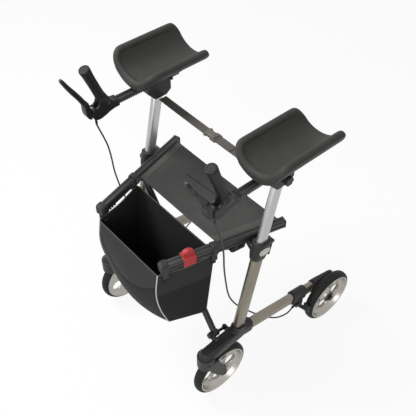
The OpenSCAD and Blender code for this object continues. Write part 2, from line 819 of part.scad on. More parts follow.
// Height lever: clamps the collar on the mast, and swings back to let it slide
module height_lever() {
  ear_y = (tube_l + 2 * collar_wall_top) / 2 + lever_knuckle_r;
  color(black) leaned() translate([0, ear_y, collar_top - lever_knuckle_r]) difference() {
    union() {
      bar_along_x(lever_knuckle_r - side_gap, lever_w);
      translate([-lever_w / 2, lever_knuckle_r - side_gap - lever_t, -lever_len])
        cube([lever_w, lever_t, lever_len]);
      translate([0, lever_knuckle_r - side_gap - lever_t / 2, -lever_len]) bar_along_x(lever_t / 2, lever_w);
    }
    bar_along_x(lever_pin_r + run_gap, lever_w + 2 * over);
  }
}

// Mast: the oval inner tube that slides up to set the height
module mast() {
  color(silver) leaned() translate([0, 0, mast_foot])
    oval_tube(mast_l, mast_w, tube_wall, mast_top - mast_foot);
}

// Clamp: on the mast's top, with the arm bar's channel and the trough's plate
module clamp() {
  front = mast_y - clamp_fwd;
  depth = clamp_fwd + clamp_back;
  color(black) {
    difference() {
      union() {
        translate([side_x - clamp_w / 2, mast_y, 0]) rotate([90, 0, 90]) linear_extrude(clamp_w) polygon([
          [-clamp_fwd, clamp_top], [-clamp_fwd, clamp_low + clamp_cheek], [-clamp_foot_fwd, clamp_low],
          [clamp_foot_back, clamp_low], [clamp_back, clamp_low + clamp_heel], [clamp_back, clamp_top]]);
        translate([side_x - plate_w / 2, plate_y, clamp_top - over])
          cube([plate_w, plate_len, plate_t + over]);
        for (y = [front, front + depth - wing_t]) translate([side_x - plate_w / 2, y, clamp_top - wing_h])
          cube([plate_w, wing_t, wing_h]);
      }
      translate([side_x - arm_w / 2 - slide_gap, front - wheel_d, arm_z - arm_t / 2 - slide_gap])
        cube([arm_w + 2 * slide_gap, 2 * wheel_d + depth, arm_t + 2 * slide_gap]);
      leaned() translate([0, 0, mast_top - clamp_plug]) linear_extrude(clamp_plug + seat_gap)
        oval(mast_l + 2 * seat_gap, mast_w + 2 * seat_gap);
      translate([side_x + clamp_w / 2 - knob_pin_len, mast_y, knob_z]) along_x()
        cylinder(r = knob_pin_r + run_gap, h = knob_pin_len + over);
    }
    leaned() translate([0, 0, mast_top - clamp_plug]) linear_extrude(clamp_plug + over)
      oval(mast_l - 2 * tube_wall - 2 * seat_gap, mast_w - 2 * tube_wall - 2 * seat_gap);
  }
}

// Trough: the padded half pipe that the forearm lies in, rolled a little inwards
module trough() {
  rims = len(rim_shares) - 1;
  pairs = trough_span_count + 1 + 2 * rims;
  last = trough_station_count - 1;
  function fall(y) = ease((trough_front + trough_corner - y) / trough_corner);
  function behind(y) = min(1, max(0, (y - trough_rear + trough_rear_corner) / trough_rear_corner));
  function reach(y) = wall_turn - (wall_turn - lip_turn) * fall(y)
    - (wall_turn - rear_turn) * (1 - sqrt(1 - behind(y) * behind(y)));
  function pad(a) = trough_t + (trough_floor - trough_t) * max(0, cos(90 * a / wall_turn));
  function tip(a) = pad(a) / 2 / (trough_r - pad(a) / 2) * 180 / PI;
  function angle_at(i, a) = i < rims ? -a - tip(a) * rim_shares[rims - i]
    : i > rims + trough_span_count ? a + tip(a) * rim_shares[i - rims - trough_span_count]
    : -a + 2 * a * (i - rims) / trough_span_count;
  function pad_at(i, a) = pad(min(a, abs(angle_at(i, a))));
  function half_at(i, a) = let (e = max(rims - i, i - rims - trough_span_count, 0))
    pad_at(i, a) / 2 * sqrt(1 - rim_shares[e] * rim_shares[e]);
  points = [for (s = [0:last], i = [0:pairs - 1], side = [1, -1])
    let (
      y = trough_rear - trough_len * (1 - cos(180 * s / last)) / 2,
      a = reach(y),
      turn = angle_at(i, a) + roll_turn,
      r = trough_r - pad_at(i, a) / 2 + side * half_at(i, a))
    [side_x + r * sin(turn), y, trough_axis_z - r * cos(turn) + lip_rise * fall(y)]];
  row = 2 * pairs;
  function quad(a, b, c, d) = [[a, b, c], [a, c, d]];
  skins = [for (s = [0:last - 1], i = [0:pairs - 2]) let (o = s * row + 2 * i)
    each concat(quad(o, o + 2, o + row + 2, o + row), quad(o + 1, o + row + 1, o + row + 3, o + 3))];
  tips = [for (s = [0:last - 1]) let (o = s * row, e = s * row + row - 2)
    each concat(quad(o, o + row, o + row + 1, o + 1), quad(e, e + 1, e + row + 1, e + row))];
  ends = [for (i = [0:pairs - 2]) let (o = 2 * i, e = last * row + 2 * i)
    each concat(quad(o, o + 1, o + 3, o + 2), quad(e, e + 2, e + 3, e + 1))];
  color(charcoal) difference() {
    polyhedron(points = points, faces = concat(skins, tips, ends));
    translate([side_x - plate_w, plate_y - over, trough_base - trough_r])
      cube([2 * plate_w, plate_len + 2 * over, trough_r]);
  }
}

// Half of the backrest strap, taut between the clamps, with its half of the buckle
module strap(from, to, buckle) {
  color(cloth) translate([from, mast_y - strap_w / 2, strap_z - strap_t / 2])
    cube([to - from, strap_w, strap_t]);
  if (buckle) color(black) translate([buckle_x - buckle_l / 2, mast_y - buckle_w / 2, strap_z - buckle_t / 2])
    cube([buckle_l, buckle_w, buckle_t]);
}

// Reach knob: tightens the clamp on the arm bar
module reach_knob() {
  color(black) translate([side_x + clamp_w / 2 + knob_gap, mast_y, knob_z]) along_x() {
    difference() {
      cylinder(r = knob_r, h = knob_t);
      for (k = [0:knob_lobe_count - 1]) rotate(360 * k / knob_lobe_count)
        translate([knob_r + knob_lobe_r / 2, 0, -over])
          cylinder(r = knob_lobe_r, h = knob_t + 2 * over);
    }
    translate([0, 0, over - knob_pin_len]) cylinder(r = knob_pin_r, h = knob_pin_len);
  }
}

// Arm bar: toothed flat bar that slides in the clamp to set the handle's reach
module arm_bar() {
  l = arm_rear_y - arm_front_y;
  color(black) translate([side_x, arm_front_y, arm_z - arm_t / 2]) difference() {
    translate([-arm_w / 2, 0, 0]) cube([arm_w, l, arm_t]);
    translate([-arm_groove_w / 2, -over, arm_t - arm_groove_d]) cube([arm_groove_w, l + 2 * over, arm_t]);
    for (y = [tooth_pitch:tooth_pitch:l - tooth_pitch], s = [-1, 1])
      translate([s * (arm_w / 2 - tooth_d / 2) - tooth_d / 2 + s * over / 2, y, -over])
        cube([tooth_d + over, tooth_w, tooth_h + over]);
  }
}

// Handle: sleeve on the arm bar, head with the lever's slot and pin, and the grip's core
module handle() {
  sleeve_w = arm_w + 2 * sleeve_wall;
  sleeve_h = arm_t + 2 * sleeve_wall;
  color(black) difference() {
    union() {
      translate([side_x - sleeve_w / 2, sleeve_rear_y - sleeve_len, arm_z - sleeve_h / 2])
        cube([sleeve_w, sleeve_len, sleeve_h]);
      hull() {
        translate([side_x, sleeve_rear_y - sleeve_len + over, arm_z])
          bar_along_x(sleeve_h / 2, sleeve_w, $fn = hull_fn);
        translate([side_x, head_y, head_z]) bar_along_x(head_r, head_w, $fn = hull_fn);
        translate([side_x, grip_y, grip_z]) rotate([grip_lean, 0, 0]) translate([0, 0, -2 * over])
          cylinder(r = neck_r, h = over, $fn = hull_fn);
      }
      translate([side_x, lever_y, lever_z]) bar_along_x(lever_root_r, head_w);
      translate([side_x, exit_y, exit_z]) translate([0, 0, -exit_len]) cylinder(r = exit_r, h = 2 * exit_len);
    }
    translate([side_x, grip_y, grip_z]) rotate([grip_lean, 0, 0]) translate([0, 0, -seat_gap])
      cylinder(r = grip_base_r + slide_gap, h = grip_len);
    translate([side_x, lever_y, lever_z]) {
      bar_along_x(lever_root_r + side_gap, lever_slot_w);
      translate([-lever_slot_w / 2, -head_r - lever_root_r, 0])
        cube([lever_slot_w, head_r + 2 * lever_root_r + side_gap, head_r + lever_root_r]);
    }
    translate([side_x - arm_w / 2 - seat_gap, arm_front_y, arm_z - arm_t / 2 - seat_gap])
      cube([arm_w + 2 * seat_gap, 2 * wheel_d, arm_t + 2 * seat_gap]);
  }
  color(black) translate([side_x, grip_y, grip_z]) rotate([grip_lean, 0, 0]) translate([0, 0, -core_root])
    cylinder(r = core_r, h = core_root + grip_len - 2 * over);
  color(silver) translate([side_x, lever_y, lever_z]) bar_along_x(hand_pin_r, head_w);
}

// Grip: a rubber sleeve on the handle's core, with a dimpled flat top
module grip() {
  mid_r = grip_d / 2;
  color("#333333") translate([side_x, grip_y, grip_z]) rotate([grip_lean, 0, 0]) difference() {
    rotate_extrude() polygon([
      [0, 0], [grip_base_r, 0], [grip_base_r, grip_rim], [mid_r, grip_len / 4],
      [mid_r - grip_swell, grip_len / 2], [mid_r + grip_swell, grip_len * 3 / 4],
      [grip_top_r, grip_len - 2 * grip_rim], [grip_top_r, grip_len - grip_rim / 2],
      [grip_top_r - grip_rim / 2, grip_len], [0, grip_len]]);
    translate([0, 0, -over]) cylinder(r = core_r + core_wall_gap, h = grip_len - over + core_wall_gap);
    translate([0, 0, grip_len - dimple_d / 2]) cylinder(r = dimple_r, h = dimple_d);
  }
}

// Brake lever: a blade that rises in front of the grip and widens above its slot
module brake_lever() {
  root_w = lever_slot_w - 4 * slide_gap;
  color(black) difference() {
    union() {
      translate([side_x, lever_y, lever_z]) bar_along_x(lever_root_r, root_w);
      hull() {
        translate([side_x, lever_y, lever_z]) bar_along_x(blade_t, root_w, $fn = hull_fn);
        translate([side_x, blade_neck_y, blade_neck_z]) bar_along_x(blade_t / 2, root_w, $fn = hull_fn);
      }
      hull() {
        translate([side_x, blade_neck_y, blade_neck_z]) bar_along_x(blade_t / 2, root_w, $fn = hull_fn);
        translate([side_x, blade_mid_y, blade_mid_z]) bar_along_x(blade_t / 2, blade_w, $fn = hull_fn);
      }
      hull() {
        translate([side_x, blade_mid_y, blade_mid_z]) bar_along_x(blade_t / 2, blade_w, $fn = hull_fn);
        translate([side_x, blade_top_y, blade_top_z]) bar_along_x(blade_t / 2, blade_w, $fn = hull_fn);
      }
    }
    translate([side_x, lever_y, lever_z]) bar_along_x(hand_pin_r + run_gap, head_w);
  }
}

// Brace from a lower hinge to the other side's upper pivot, in the fold's own plane.
// The front one carries the pin of the crossing, the rear one its bore.
module brace(front) {
  off = front ? -brace_off : brace_off;
  translate([hinge_x, hinge_y, hinge_z]) rotate([-lean, 0, 0]) translate([0, off, 0])
    rotate([0, brace_turn - 180, 0]) difference() {
      union() {
        along_x() cylinder(r = brace_r, h = brace_len);
        for (x = [0, brace_len]) translate([x, -eye_half, 0]) along_y() cylinder(r = eye_r, h = 2 * eye_half);
        translate([cross_at, front ? 0 : boss_gap - brace_off, 0]) along_y()
          cylinder(r = boss_r, h = brace_off - boss_gap);
        if (front) translate([cross_at, 0, 0]) along_y() {
          cylinder(r = pin_r, h = 2 * brace_off + brace_r + side_gap + pin_head_t);
          translate([0, 0, 2 * brace_off + brace_r + side_gap]) cylinder(r = pin_head_r, h = pin_head_t);
        }
      }
      translate([eye_r, 0, 0]) along_x() cylinder(r = brace_r - brace_wall, h = cross_at - eye_r - boss_r);
      translate([cross_at + boss_r, 0, 0]) along_x()
        cylinder(r = brace_r - brace_wall, h = brace_len - cross_at - eye_r - boss_r);
      for (x = [0, brace_len]) translate([x, -eye_half - over, 0]) along_y()
        cylinder(r = pin_r + run_gap, h = 2 * (eye_half + over));
      if (!front) translate([cross_at, -brace_off - over, 0]) along_y()
        cylinder(r = pin_r + run_gap, h = 2 * (brace_off + brace_r));
    }
}

module left_brace() {
  color(black) brace(true);
}

module right_brace() {
  color(black) mirror([1, 0, 0]) brace(false);
}

// Moves to a bar's front end and turns along it: Y runs back along the bar
module on_bar() {
  translate([bar_front_x, bar_front_y, bar_z]) rotate([0, 0, -bar_turn]) children();
}

// Distance along a bar of a place along the walker
function along_bar(y) = (y - bar_front_y) / cos(bar_turn);

// Seat bar: grooved hollow profile with the upper pivot's lugs and pin below it
module seat_bar(off) {
  low = pivot_z - bar_z;
  color(black) {
    on_bar() along_y() linear_extrude(bar_len) difference() {
      rounded_square(bar_w, bar_h, bar_corner);
      rounded_square(bar_w - 2 * bar_wall - groove_d, bar_h - 2 * bar_wall - groove_d, bar_corner / 2);
      for (s = [-1, 1]) {
        translate([s * bar_w / 2, 0]) square([2 * groove_d, groove_w], center = true);
        translate([0, s * bar_h / 2]) square([groove_w, 2 * groove_d], center = true);
      }
    }
    translate([pivot_x, pivot_y, pivot_z]) rotate([-lean, 0, 0]) translate([0, off, 0]) {
      for (y = [-lug_gap - lug_t, lug_gap]) translate([0, y, 0]) intersection() {
        union() {
          along_y() cylinder(r = eye_r, h = lug_t);
          translate([-eye_r, 0, 0]) cube([2 * eye_r, lug_t, -low]);
        }
        translate([0, -y - off, 0]) rotate([lean, 0, 0])
          translate([-bar_w, -2 * bar_len, low])
            cube([2 * bar_w, 4 * bar_len, bar_wall - 2 * low - bar_h / 2]);
      }
      translate([0, -lug_gap - lug_t - pin_head_t, 0]) along_y() {
        cylinder(r = pin_r, h = 2 * (lug_gap + lug_t) + pin_head_t);
        cylinder(r = pin_head_r, h = pin_head_t);
      }
    }
  }
}

// Bar fittings: end caps, the clamp rings with the bag's hooks, and finger bumps below
module bar_fittings() {
  color(black) on_bar() {
    for (y = [-cap_t, bar_len]) translate([0, y, 0]) along_y() linear_extrude(cap_t)
      rounded_square(bar_w + over, bar_h + over, bar_corner);
    for (y = [along_bar(front_ring_y), along_bar(rear_ring_y)]) translate([0, y - ring_len / 2, 0]) {
      along_y() linear_extrude(ring_len) difference() {
        rounded_square(bar_w + 2 * ring_wall, bar_h + 2 * ring_wall, bar_corner + ring_wall);
        rounded_square(bar_w + 2 * seat_gap, bar_h + 2 * seat_gap, bar_corner);
      }
      translate([hook_off, 0, hook_low]) cube([hook_t, ring_len, hook_drop]);
      translate([-hook_reach, 0, hook_low]) cube([hook_reach + hook_off + over, ring_len, hook_t / 2]);
    }
    for (k = [0:bump_count - 1]) translate([0, bump_start + k * bump_pitch, -bar_h / 2 - seat_gap])
      intersection() {
        bar_along_x(bump_r, bar_w);
        translate([-bar_w, -bump_r, -bump_r]) cube([2 * bar_w, 2 * bump_r, bump_r]);
      }
  }
}

// Seat: woven sheet held between the bars
module seat() {
  inset = (bar_w / 2 + seat_gap_side) / cos(bar_turn);
  color(cloth) translate([0, 0, seat_h - seat_t]) linear_extrude(seat_t) polygon([
    [-bar_x(seat_rear_y) + inset, seat_rear_y], [bar_x(seat_rear_y) - inset, seat_rear_y],
    [bar_x(seat_front_y) - inset, seat_front_y], [-bar_x(seat_front_y) + inset, seat_front_y]]);
}

// Bag: open shell that hangs between the bars, with a bulging front and a rounded foot
module bag() {
  levels = [0, 0.12, 0.3, 0.5, 0.68, 0.82, 0.91, 0.97, 1];
  foot_shares = [0, 0, 0, 0, 0.02, 0.1, 0.25, 0.55, 1];
  lean_shares = [0, -0.3, -0.43, -0.3, 0.05, 0.38, 0.53, 0.5, 0.6];
  corner_steps = 4;
  front_shares = [-0.7, -0.35, 0, 0.35, 0.7];
  function ring(k, wall) = let (
      t = levels[k],
      inset = bag_foot_inset * foot_shares[k] + wall,
      rear = bag_rear_top_y + (bag_rear_low_y - bag_rear_top_y) * t - inset,
      front = bag_front_top_y + bag_front_in * lean_shares[k] + inset,
      bulge = bag_bulge * sin(180 * min(1, t + 0.12)) * (1 - foot_shares[k]),
      z = max(bag_top - bag_drop * t, bag_bottom + wall),
      hr = bag_rear_half - inset,
      hf = bag_front_half - inset)
    concat(
      [for (j = [0:corner_steps]) let (a = 90 * j / corner_steps)
        [hr - bag_corner + bag_corner * cos(a), rear - bag_corner + bag_corner * sin(a), z]],
      [for (j = [0:corner_steps]) let (a = 90 + 90 * j / corner_steps)
        [-hr + bag_corner + bag_corner * cos(a), rear - bag_corner + bag_corner * sin(a), z]],
      [for (j = [0:corner_steps]) let (a = 180 + 90 * j / corner_steps)
        [-hf + bag_corner + bag_corner * cos(a), front + bag_corner + bag_corner * sin(a), z]],
      [for (u = front_shares) [u * hf, front - bulge * (1 - u * u), z]],
      [for (j = [0:corner_steps]) let (a = 270 + 90 * j / corner_steps)
        [hf - bag_corner + bag_corner * cos(a), front + bag_corner + bag_corner * sin(a), z]]);
  n = len(ring(0, 0));
  rows = len(levels);
  outer = [for (k = [0:rows - 1]) each ring(k, 0)];
  inner = [for (k = [0:rows - 1]) each ring(k, bag_wall)];
  base = rows * n;
  foot = [0, (bag_rear_low_y + bag_front_low_y) / 2, bag_bottom];
  faces = concat(
    [for (k = [0:rows - 2], i = [0:n - 1]) let (a = k * n + i, b = k * n + (i + 1) % n)
      each [[a, b, b + n], [a, b + n, a + n]]],
    [for (k = [0:rows - 2], i = [0:n - 1]) let (a = base + k * n + i, b = base + k * n + (i + 1) % n)
      each [[a, b + n, b], [a, a + n, b + n]]],
    [for (i = [0:n - 1]) let (a = i, b = (i + 1) % n) each [[a, base + a, base + b], [a, base + b, b]]],
    [for (i = [0:n - 1]) [(rows - 1) * n + i, (rows - 1) * n + (i + 1) % n, 2 * base]],
    [for (i = [0:n - 1]) [base + (rows - 1) * n + (i + 1) % n, base + (rows - 1) * n + i, 2 * base + 1]]);
  color("#333333") difference() {
    polyhedron(points = concat(outer, inner, [foot, foot + [0, 0, bag_wall]]), faces = faces);
    hook_eyelets();
    mirror([1, 0, 0]) hook_eyelets();
  }
}

// Openings in the bag's wall that the hooks' arms pass through
module hook_eyelets() {
  for (y = [front_ring_y, rear_ring_y]) on_bar() translate([0, along_bar(y) - ring_len / 2, 0])
    translate([-hook_reach - slide_gap, -slide_gap, hook_low - slide_gap])
      cube([hook_reach + hook_off + hook_t, ring_len + 2 * slide_gap, hook_t / 2 + 2 * slide_gap]);
}

// Fold latch: red slider on the left bar, with a round tab on top
module fold_latch() {
  w = bar_w + 2 * slide_gap;
  h = bar_h + 2 * slide_gap;
  color(red) on_bar() translate([0, along_bar(latch_y) - latch_len / 2, 0]) {
    along_y() linear_extrude(latch_len) difference() {
      rounded_square(w + 2 * latch_wall, h + 2 * latch_wall, bar_corner + latch_wall);
      rounded_square(w, h, bar_corner);
    }
    intersection() {
      translate([0, latch_len / 2, h / 2 + latch_rise]) bar_along_x(latch_len / 2, latch_tab_t);
      translate([-latch_tab_t, 0, h / 2]) cube([2 * latch_tab_t, latch_len, latch_len]);
    }
    for (k = [0:latch_rib_count - 1]) translate([0, latch_len * (k + 0.25) / latch_rib_count, 0])
      along_y() linear_extrude(latch_len / latch_rib_count / 2) difference() {
        rounded_square(w + 2 * latch_wall + 2 * latch_rib, h + 2 * latch_wall, bar_corner + latch_wall);
        rounded_square(w + latch_wall, h + latch_wall, bar_corner);
      }
  }
}

// Draws a left piece, or its mirror image for the right side
module piece(name) {
  children();
  mirror([1, 0, 0]) children();
}

piece("casting") casting();
piece("upright") upright();
piece("rail") rail();
piece("collar") collar();
piece("badge") badge();
piece("rear_bracket") rear_bracket();
piece("brake_mount") brake_mount();
piece("hinge_rod") hinge_rod();
piece("cable") cable();
piece("fork") fork();
piece("front_rim") rim(side_x, front_axle_y);
piece("front_tyre") tyre(side_x, front_axle_y);
piece("rear_rim") rim(rear_track_half, rear_axle_y);
piece("rear_tyre") tyre(rear_track_half, rear_axle_y);
piece("brake_arm") brake_arm();
piece("height_lever") height_lever();
piece("mast") mast();
piece("clamp") clamp();
piece("trough") trough();
piece("reach_knob") reach_knob();
piece("arm_bar") arm_bar();
piece("handle") handle();
piece("grip") grip();
piece("brake_lever") brake_lever();
piece("bar_fittings") bar_fittings();
strap(buckle_x + buckle_l / 2 + side_gap, strap_end, false);  // left_strap
strap(-strap_end, buckle_x, true);  // right_strap
left_brace();
right_brace();
seat_bar(brace_off);  // left_seat_bar
mirror([1, 0, 0]) seat_bar(-brace_off);  // right_seat_bar
seat();
bag();
fold_latch();
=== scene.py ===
# %% [markdown]
# # An upright walker
# A folding walking frame with forearm troughs, a seat and a bag. Its tubes, joints and wheels come as a fixed
# frame of solids. This lesson lays the visible surfaces over that frame: moulded plastic, satin tubes, foam,
# rubber and cloth. Every length is written in millimetres and turned to metres once.

# %% Load the frame
import json
from math import atan, cos, pi, radians, sin, sqrt

import bmesh
import bpy
from mathutils import Matrix, Vector
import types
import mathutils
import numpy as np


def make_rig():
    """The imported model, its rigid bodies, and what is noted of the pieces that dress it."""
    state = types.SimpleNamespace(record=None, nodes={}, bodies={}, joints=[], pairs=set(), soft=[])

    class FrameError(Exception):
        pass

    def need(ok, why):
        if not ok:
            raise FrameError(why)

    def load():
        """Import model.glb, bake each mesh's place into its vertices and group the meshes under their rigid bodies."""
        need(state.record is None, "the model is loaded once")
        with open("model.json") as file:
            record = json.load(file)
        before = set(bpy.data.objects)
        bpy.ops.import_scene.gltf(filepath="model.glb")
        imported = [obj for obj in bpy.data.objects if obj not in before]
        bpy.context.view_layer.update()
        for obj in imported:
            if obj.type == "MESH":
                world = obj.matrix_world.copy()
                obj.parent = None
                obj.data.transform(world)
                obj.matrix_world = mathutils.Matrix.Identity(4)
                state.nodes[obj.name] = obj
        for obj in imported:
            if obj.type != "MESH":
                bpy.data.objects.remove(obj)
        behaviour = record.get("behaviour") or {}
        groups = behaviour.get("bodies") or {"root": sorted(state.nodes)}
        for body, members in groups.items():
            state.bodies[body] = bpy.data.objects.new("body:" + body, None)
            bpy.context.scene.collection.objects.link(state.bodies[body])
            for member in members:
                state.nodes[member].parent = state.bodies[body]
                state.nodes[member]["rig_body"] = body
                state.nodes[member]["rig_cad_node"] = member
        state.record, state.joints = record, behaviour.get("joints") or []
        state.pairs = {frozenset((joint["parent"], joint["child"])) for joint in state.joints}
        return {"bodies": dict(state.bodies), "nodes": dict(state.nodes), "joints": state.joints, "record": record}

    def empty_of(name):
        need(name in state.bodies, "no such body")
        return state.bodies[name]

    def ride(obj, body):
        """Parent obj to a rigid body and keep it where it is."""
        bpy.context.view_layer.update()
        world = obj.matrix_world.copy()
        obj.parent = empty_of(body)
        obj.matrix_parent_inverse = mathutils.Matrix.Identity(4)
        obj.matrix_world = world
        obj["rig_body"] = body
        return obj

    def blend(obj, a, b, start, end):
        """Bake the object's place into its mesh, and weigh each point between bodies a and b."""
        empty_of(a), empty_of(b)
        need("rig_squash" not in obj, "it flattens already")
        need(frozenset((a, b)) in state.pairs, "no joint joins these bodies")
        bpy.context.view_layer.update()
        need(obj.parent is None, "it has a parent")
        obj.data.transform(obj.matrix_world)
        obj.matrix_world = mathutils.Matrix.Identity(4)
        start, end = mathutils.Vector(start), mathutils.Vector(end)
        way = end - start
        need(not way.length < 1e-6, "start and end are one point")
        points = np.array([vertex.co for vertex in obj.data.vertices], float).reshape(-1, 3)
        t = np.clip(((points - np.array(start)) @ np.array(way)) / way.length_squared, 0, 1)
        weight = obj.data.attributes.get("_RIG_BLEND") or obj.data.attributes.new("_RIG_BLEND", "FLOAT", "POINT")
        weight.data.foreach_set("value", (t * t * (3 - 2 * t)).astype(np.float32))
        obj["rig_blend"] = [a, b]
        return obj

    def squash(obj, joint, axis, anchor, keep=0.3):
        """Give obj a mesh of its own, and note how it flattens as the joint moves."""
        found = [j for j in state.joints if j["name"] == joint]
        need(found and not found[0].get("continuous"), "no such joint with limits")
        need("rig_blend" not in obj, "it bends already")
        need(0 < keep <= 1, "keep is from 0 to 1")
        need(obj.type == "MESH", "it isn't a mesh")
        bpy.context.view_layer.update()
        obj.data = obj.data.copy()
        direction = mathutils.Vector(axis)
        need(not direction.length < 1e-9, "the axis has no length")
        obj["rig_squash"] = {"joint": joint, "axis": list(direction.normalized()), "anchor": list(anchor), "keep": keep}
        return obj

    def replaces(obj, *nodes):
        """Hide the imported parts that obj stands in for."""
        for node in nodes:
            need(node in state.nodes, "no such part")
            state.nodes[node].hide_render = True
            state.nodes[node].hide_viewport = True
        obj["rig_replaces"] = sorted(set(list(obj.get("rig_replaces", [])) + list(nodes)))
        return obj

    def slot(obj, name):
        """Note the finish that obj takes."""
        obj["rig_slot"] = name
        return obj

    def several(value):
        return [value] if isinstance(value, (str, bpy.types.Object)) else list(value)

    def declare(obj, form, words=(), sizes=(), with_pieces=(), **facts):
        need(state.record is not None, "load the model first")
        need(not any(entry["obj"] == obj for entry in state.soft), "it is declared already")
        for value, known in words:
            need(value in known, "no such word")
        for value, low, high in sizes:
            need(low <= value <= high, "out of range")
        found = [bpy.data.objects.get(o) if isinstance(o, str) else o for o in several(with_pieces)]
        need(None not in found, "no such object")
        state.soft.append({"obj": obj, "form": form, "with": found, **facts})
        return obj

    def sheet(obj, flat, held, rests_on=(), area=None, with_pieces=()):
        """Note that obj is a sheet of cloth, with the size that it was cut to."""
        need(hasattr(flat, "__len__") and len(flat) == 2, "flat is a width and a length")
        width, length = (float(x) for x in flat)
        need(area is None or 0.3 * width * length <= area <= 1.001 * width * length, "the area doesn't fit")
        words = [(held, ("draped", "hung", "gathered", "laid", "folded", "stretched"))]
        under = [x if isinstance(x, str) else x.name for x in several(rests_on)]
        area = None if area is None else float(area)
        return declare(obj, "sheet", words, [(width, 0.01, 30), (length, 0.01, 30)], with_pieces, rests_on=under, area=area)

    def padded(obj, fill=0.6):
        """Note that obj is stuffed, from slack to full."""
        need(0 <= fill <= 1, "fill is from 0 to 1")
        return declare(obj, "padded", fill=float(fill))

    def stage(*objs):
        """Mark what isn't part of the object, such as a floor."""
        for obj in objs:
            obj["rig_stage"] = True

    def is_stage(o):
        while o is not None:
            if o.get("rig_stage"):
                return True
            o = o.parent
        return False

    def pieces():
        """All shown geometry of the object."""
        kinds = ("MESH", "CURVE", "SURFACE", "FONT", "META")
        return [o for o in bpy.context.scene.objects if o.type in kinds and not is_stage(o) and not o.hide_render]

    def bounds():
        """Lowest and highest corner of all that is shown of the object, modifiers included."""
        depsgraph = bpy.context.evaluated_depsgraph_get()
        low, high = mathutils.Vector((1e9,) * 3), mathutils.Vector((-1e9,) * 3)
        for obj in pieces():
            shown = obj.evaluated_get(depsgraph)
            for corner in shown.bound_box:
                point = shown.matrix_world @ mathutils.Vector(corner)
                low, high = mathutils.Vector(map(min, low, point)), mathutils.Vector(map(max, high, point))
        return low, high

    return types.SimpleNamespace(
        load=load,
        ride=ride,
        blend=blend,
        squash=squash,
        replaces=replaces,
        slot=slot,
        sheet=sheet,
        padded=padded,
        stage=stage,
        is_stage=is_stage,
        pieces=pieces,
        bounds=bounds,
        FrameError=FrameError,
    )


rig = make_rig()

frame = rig.load()
cad_box = [list(corner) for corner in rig.bounds()]
MM = 0.001
SIDES = ("left", "right")
print("solids:", len(frame["nodes"]), "bodies:", len(frame["bodies"]))


# %% [markdown]
# The camera stands where the photographer stood: well above the seat, to the front left of the walker, with a
# moderate lens. Its place was found from points of the walker that show clearly.

# %% Camera
AZIMUTH, ELEVATION = radians(48.85), radians(46.22)
EYE = (1.0615, -0.9921, 1.9924)
SENSOR, LENS = 36.0, 57.37
towards_eye = Vector((sin(AZIMUTH) * cos(ELEVATION), -cos(AZIMUTH) * cos(ELEVATION), sin(ELEVATION)))
bpy.ops.object.camera_add(location=EYE, rotation=towards_eye.to_track_quat("Z", "Y").to_euler())
camera = bpy.context.active_object
camera.data.sensor_width = SENSOR
camera.data.lens = LENS
bpy.context.scene.camera = camera
bpy.context.scene.view_settings.view_transform = "Standard"
print("camera at", EYE)


# %% [markdown]
# A node tree is easier to read when each node is one line. This helper adds a node, sets its properties, and
# links or fills its inputs. Colours are written as sRGB hex values and turned to the linear values that shaders
# take.

# %% Nodes and colours
def fill(tree, node, inputs):
    for socket, value in inputs.items():
        if isinstance(value, bpy.types.NodeSocket):
            tree.links.new(value, node.inputs[socket])
        else:
            node.inputs[socket].default_value = value


def add(tree, kind, inputs=None, **settings):
    made = tree.nodes.new("ShaderNode" + kind)
    for key, value in settings.items():
        setattr(made, key, value)
    fill(tree, made, inputs or {})
    return made


def linear(code):
    parts = [int(code[i:i + 2], 16) / 255 for i in (1, 3, 5)]
    return [c / 12.92 if c <= 0.04045 else ((c + 0.055) / 1.055) ** 2.4 for c in parts] + [1.0]


print("mid grey in linear light:", round(linear("#808080")[0], 3))


# %% [markdown]
# The picture has a white surround. The world and the floor show plain white to the camera and to reflections,
# while the light that they throw on the walker stays moderate: the world is dimmed and the floor throws light
# back like grey paper. The floor still takes a faint shadow from the wheels.

# %% World and floor
FLOOR_WHITE, FLOOR_BOUNCE = "#ffffff", "#b4b4b4"
SHADOW_SHARE, AMBIENT = 0.1, 0.28
FLOOR_SIZE, FLOOR_DROP = 14, 0.0005


def seen_directly(tree):
    path = add(tree, "LightPath").outputs
    seen = add(tree, "Math", {0: path["Is Camera Ray"], 1: path["Is Glossy Ray"]}, operation="MAXIMUM")
    either = add(tree, "Math", {0: seen.outputs[0], 1: path["Is Transmission Ray"]}, operation="MAXIMUM")
    return either.outputs[0]


world = bpy.data.worlds.new("studio")
bpy.context.scene.world = world
world.use_nodes = True
tree = world.node_tree
tree.nodes.clear()
soft_light = add(tree, "Background", {"Color": linear(FLOOR_WHITE), "Strength": AMBIENT})
white = add(tree, "Background", {"Color": linear(FLOOR_WHITE), "Strength": 1.0})
both = add(tree, "MixShader", {0: seen_directly(tree), 1: soft_light.outputs[0], 2: white.outputs[0]})
add(tree, "OutputWorld", {"Surface": both.outputs[0]})

bpy.ops.object.select_all(action="DESELECT")
bpy.ops.mesh.primitive_plane_add(size=FLOOR_SIZE, location=(0, 0, -FLOOR_DROP))
floor = bpy.context.active_object
floor.name = "studio_floor"
paper = bpy.data.materials.new("white_paper")
paper.use_nodes = True
tree = paper.node_tree
tree.nodes.clear()
lit = add(tree, "BsdfDiffuse", {"Color": linear(FLOOR_WHITE)})
bounce = add(tree, "BsdfDiffuse", {"Color": linear(FLOOR_BOUNCE)})
glow = add(tree, "Emission", {"Color": linear(FLOOR_WHITE), "Strength": 1.0})
shade = add(tree, "MixShader", {0: 1 - SHADOW_SHARE, 1: lit.outputs[0], 2: glow.outputs[0]})
floor_look = add(tree, "MixShader", {0: seen_directly(tree), 1: bounce.outputs[0], 2: shade.outputs[0]})
add(tree, "OutputMaterial", {"Surface": floor_look.outputs[0]})
floor.data.materials.append(paper)
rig.stage(floor)
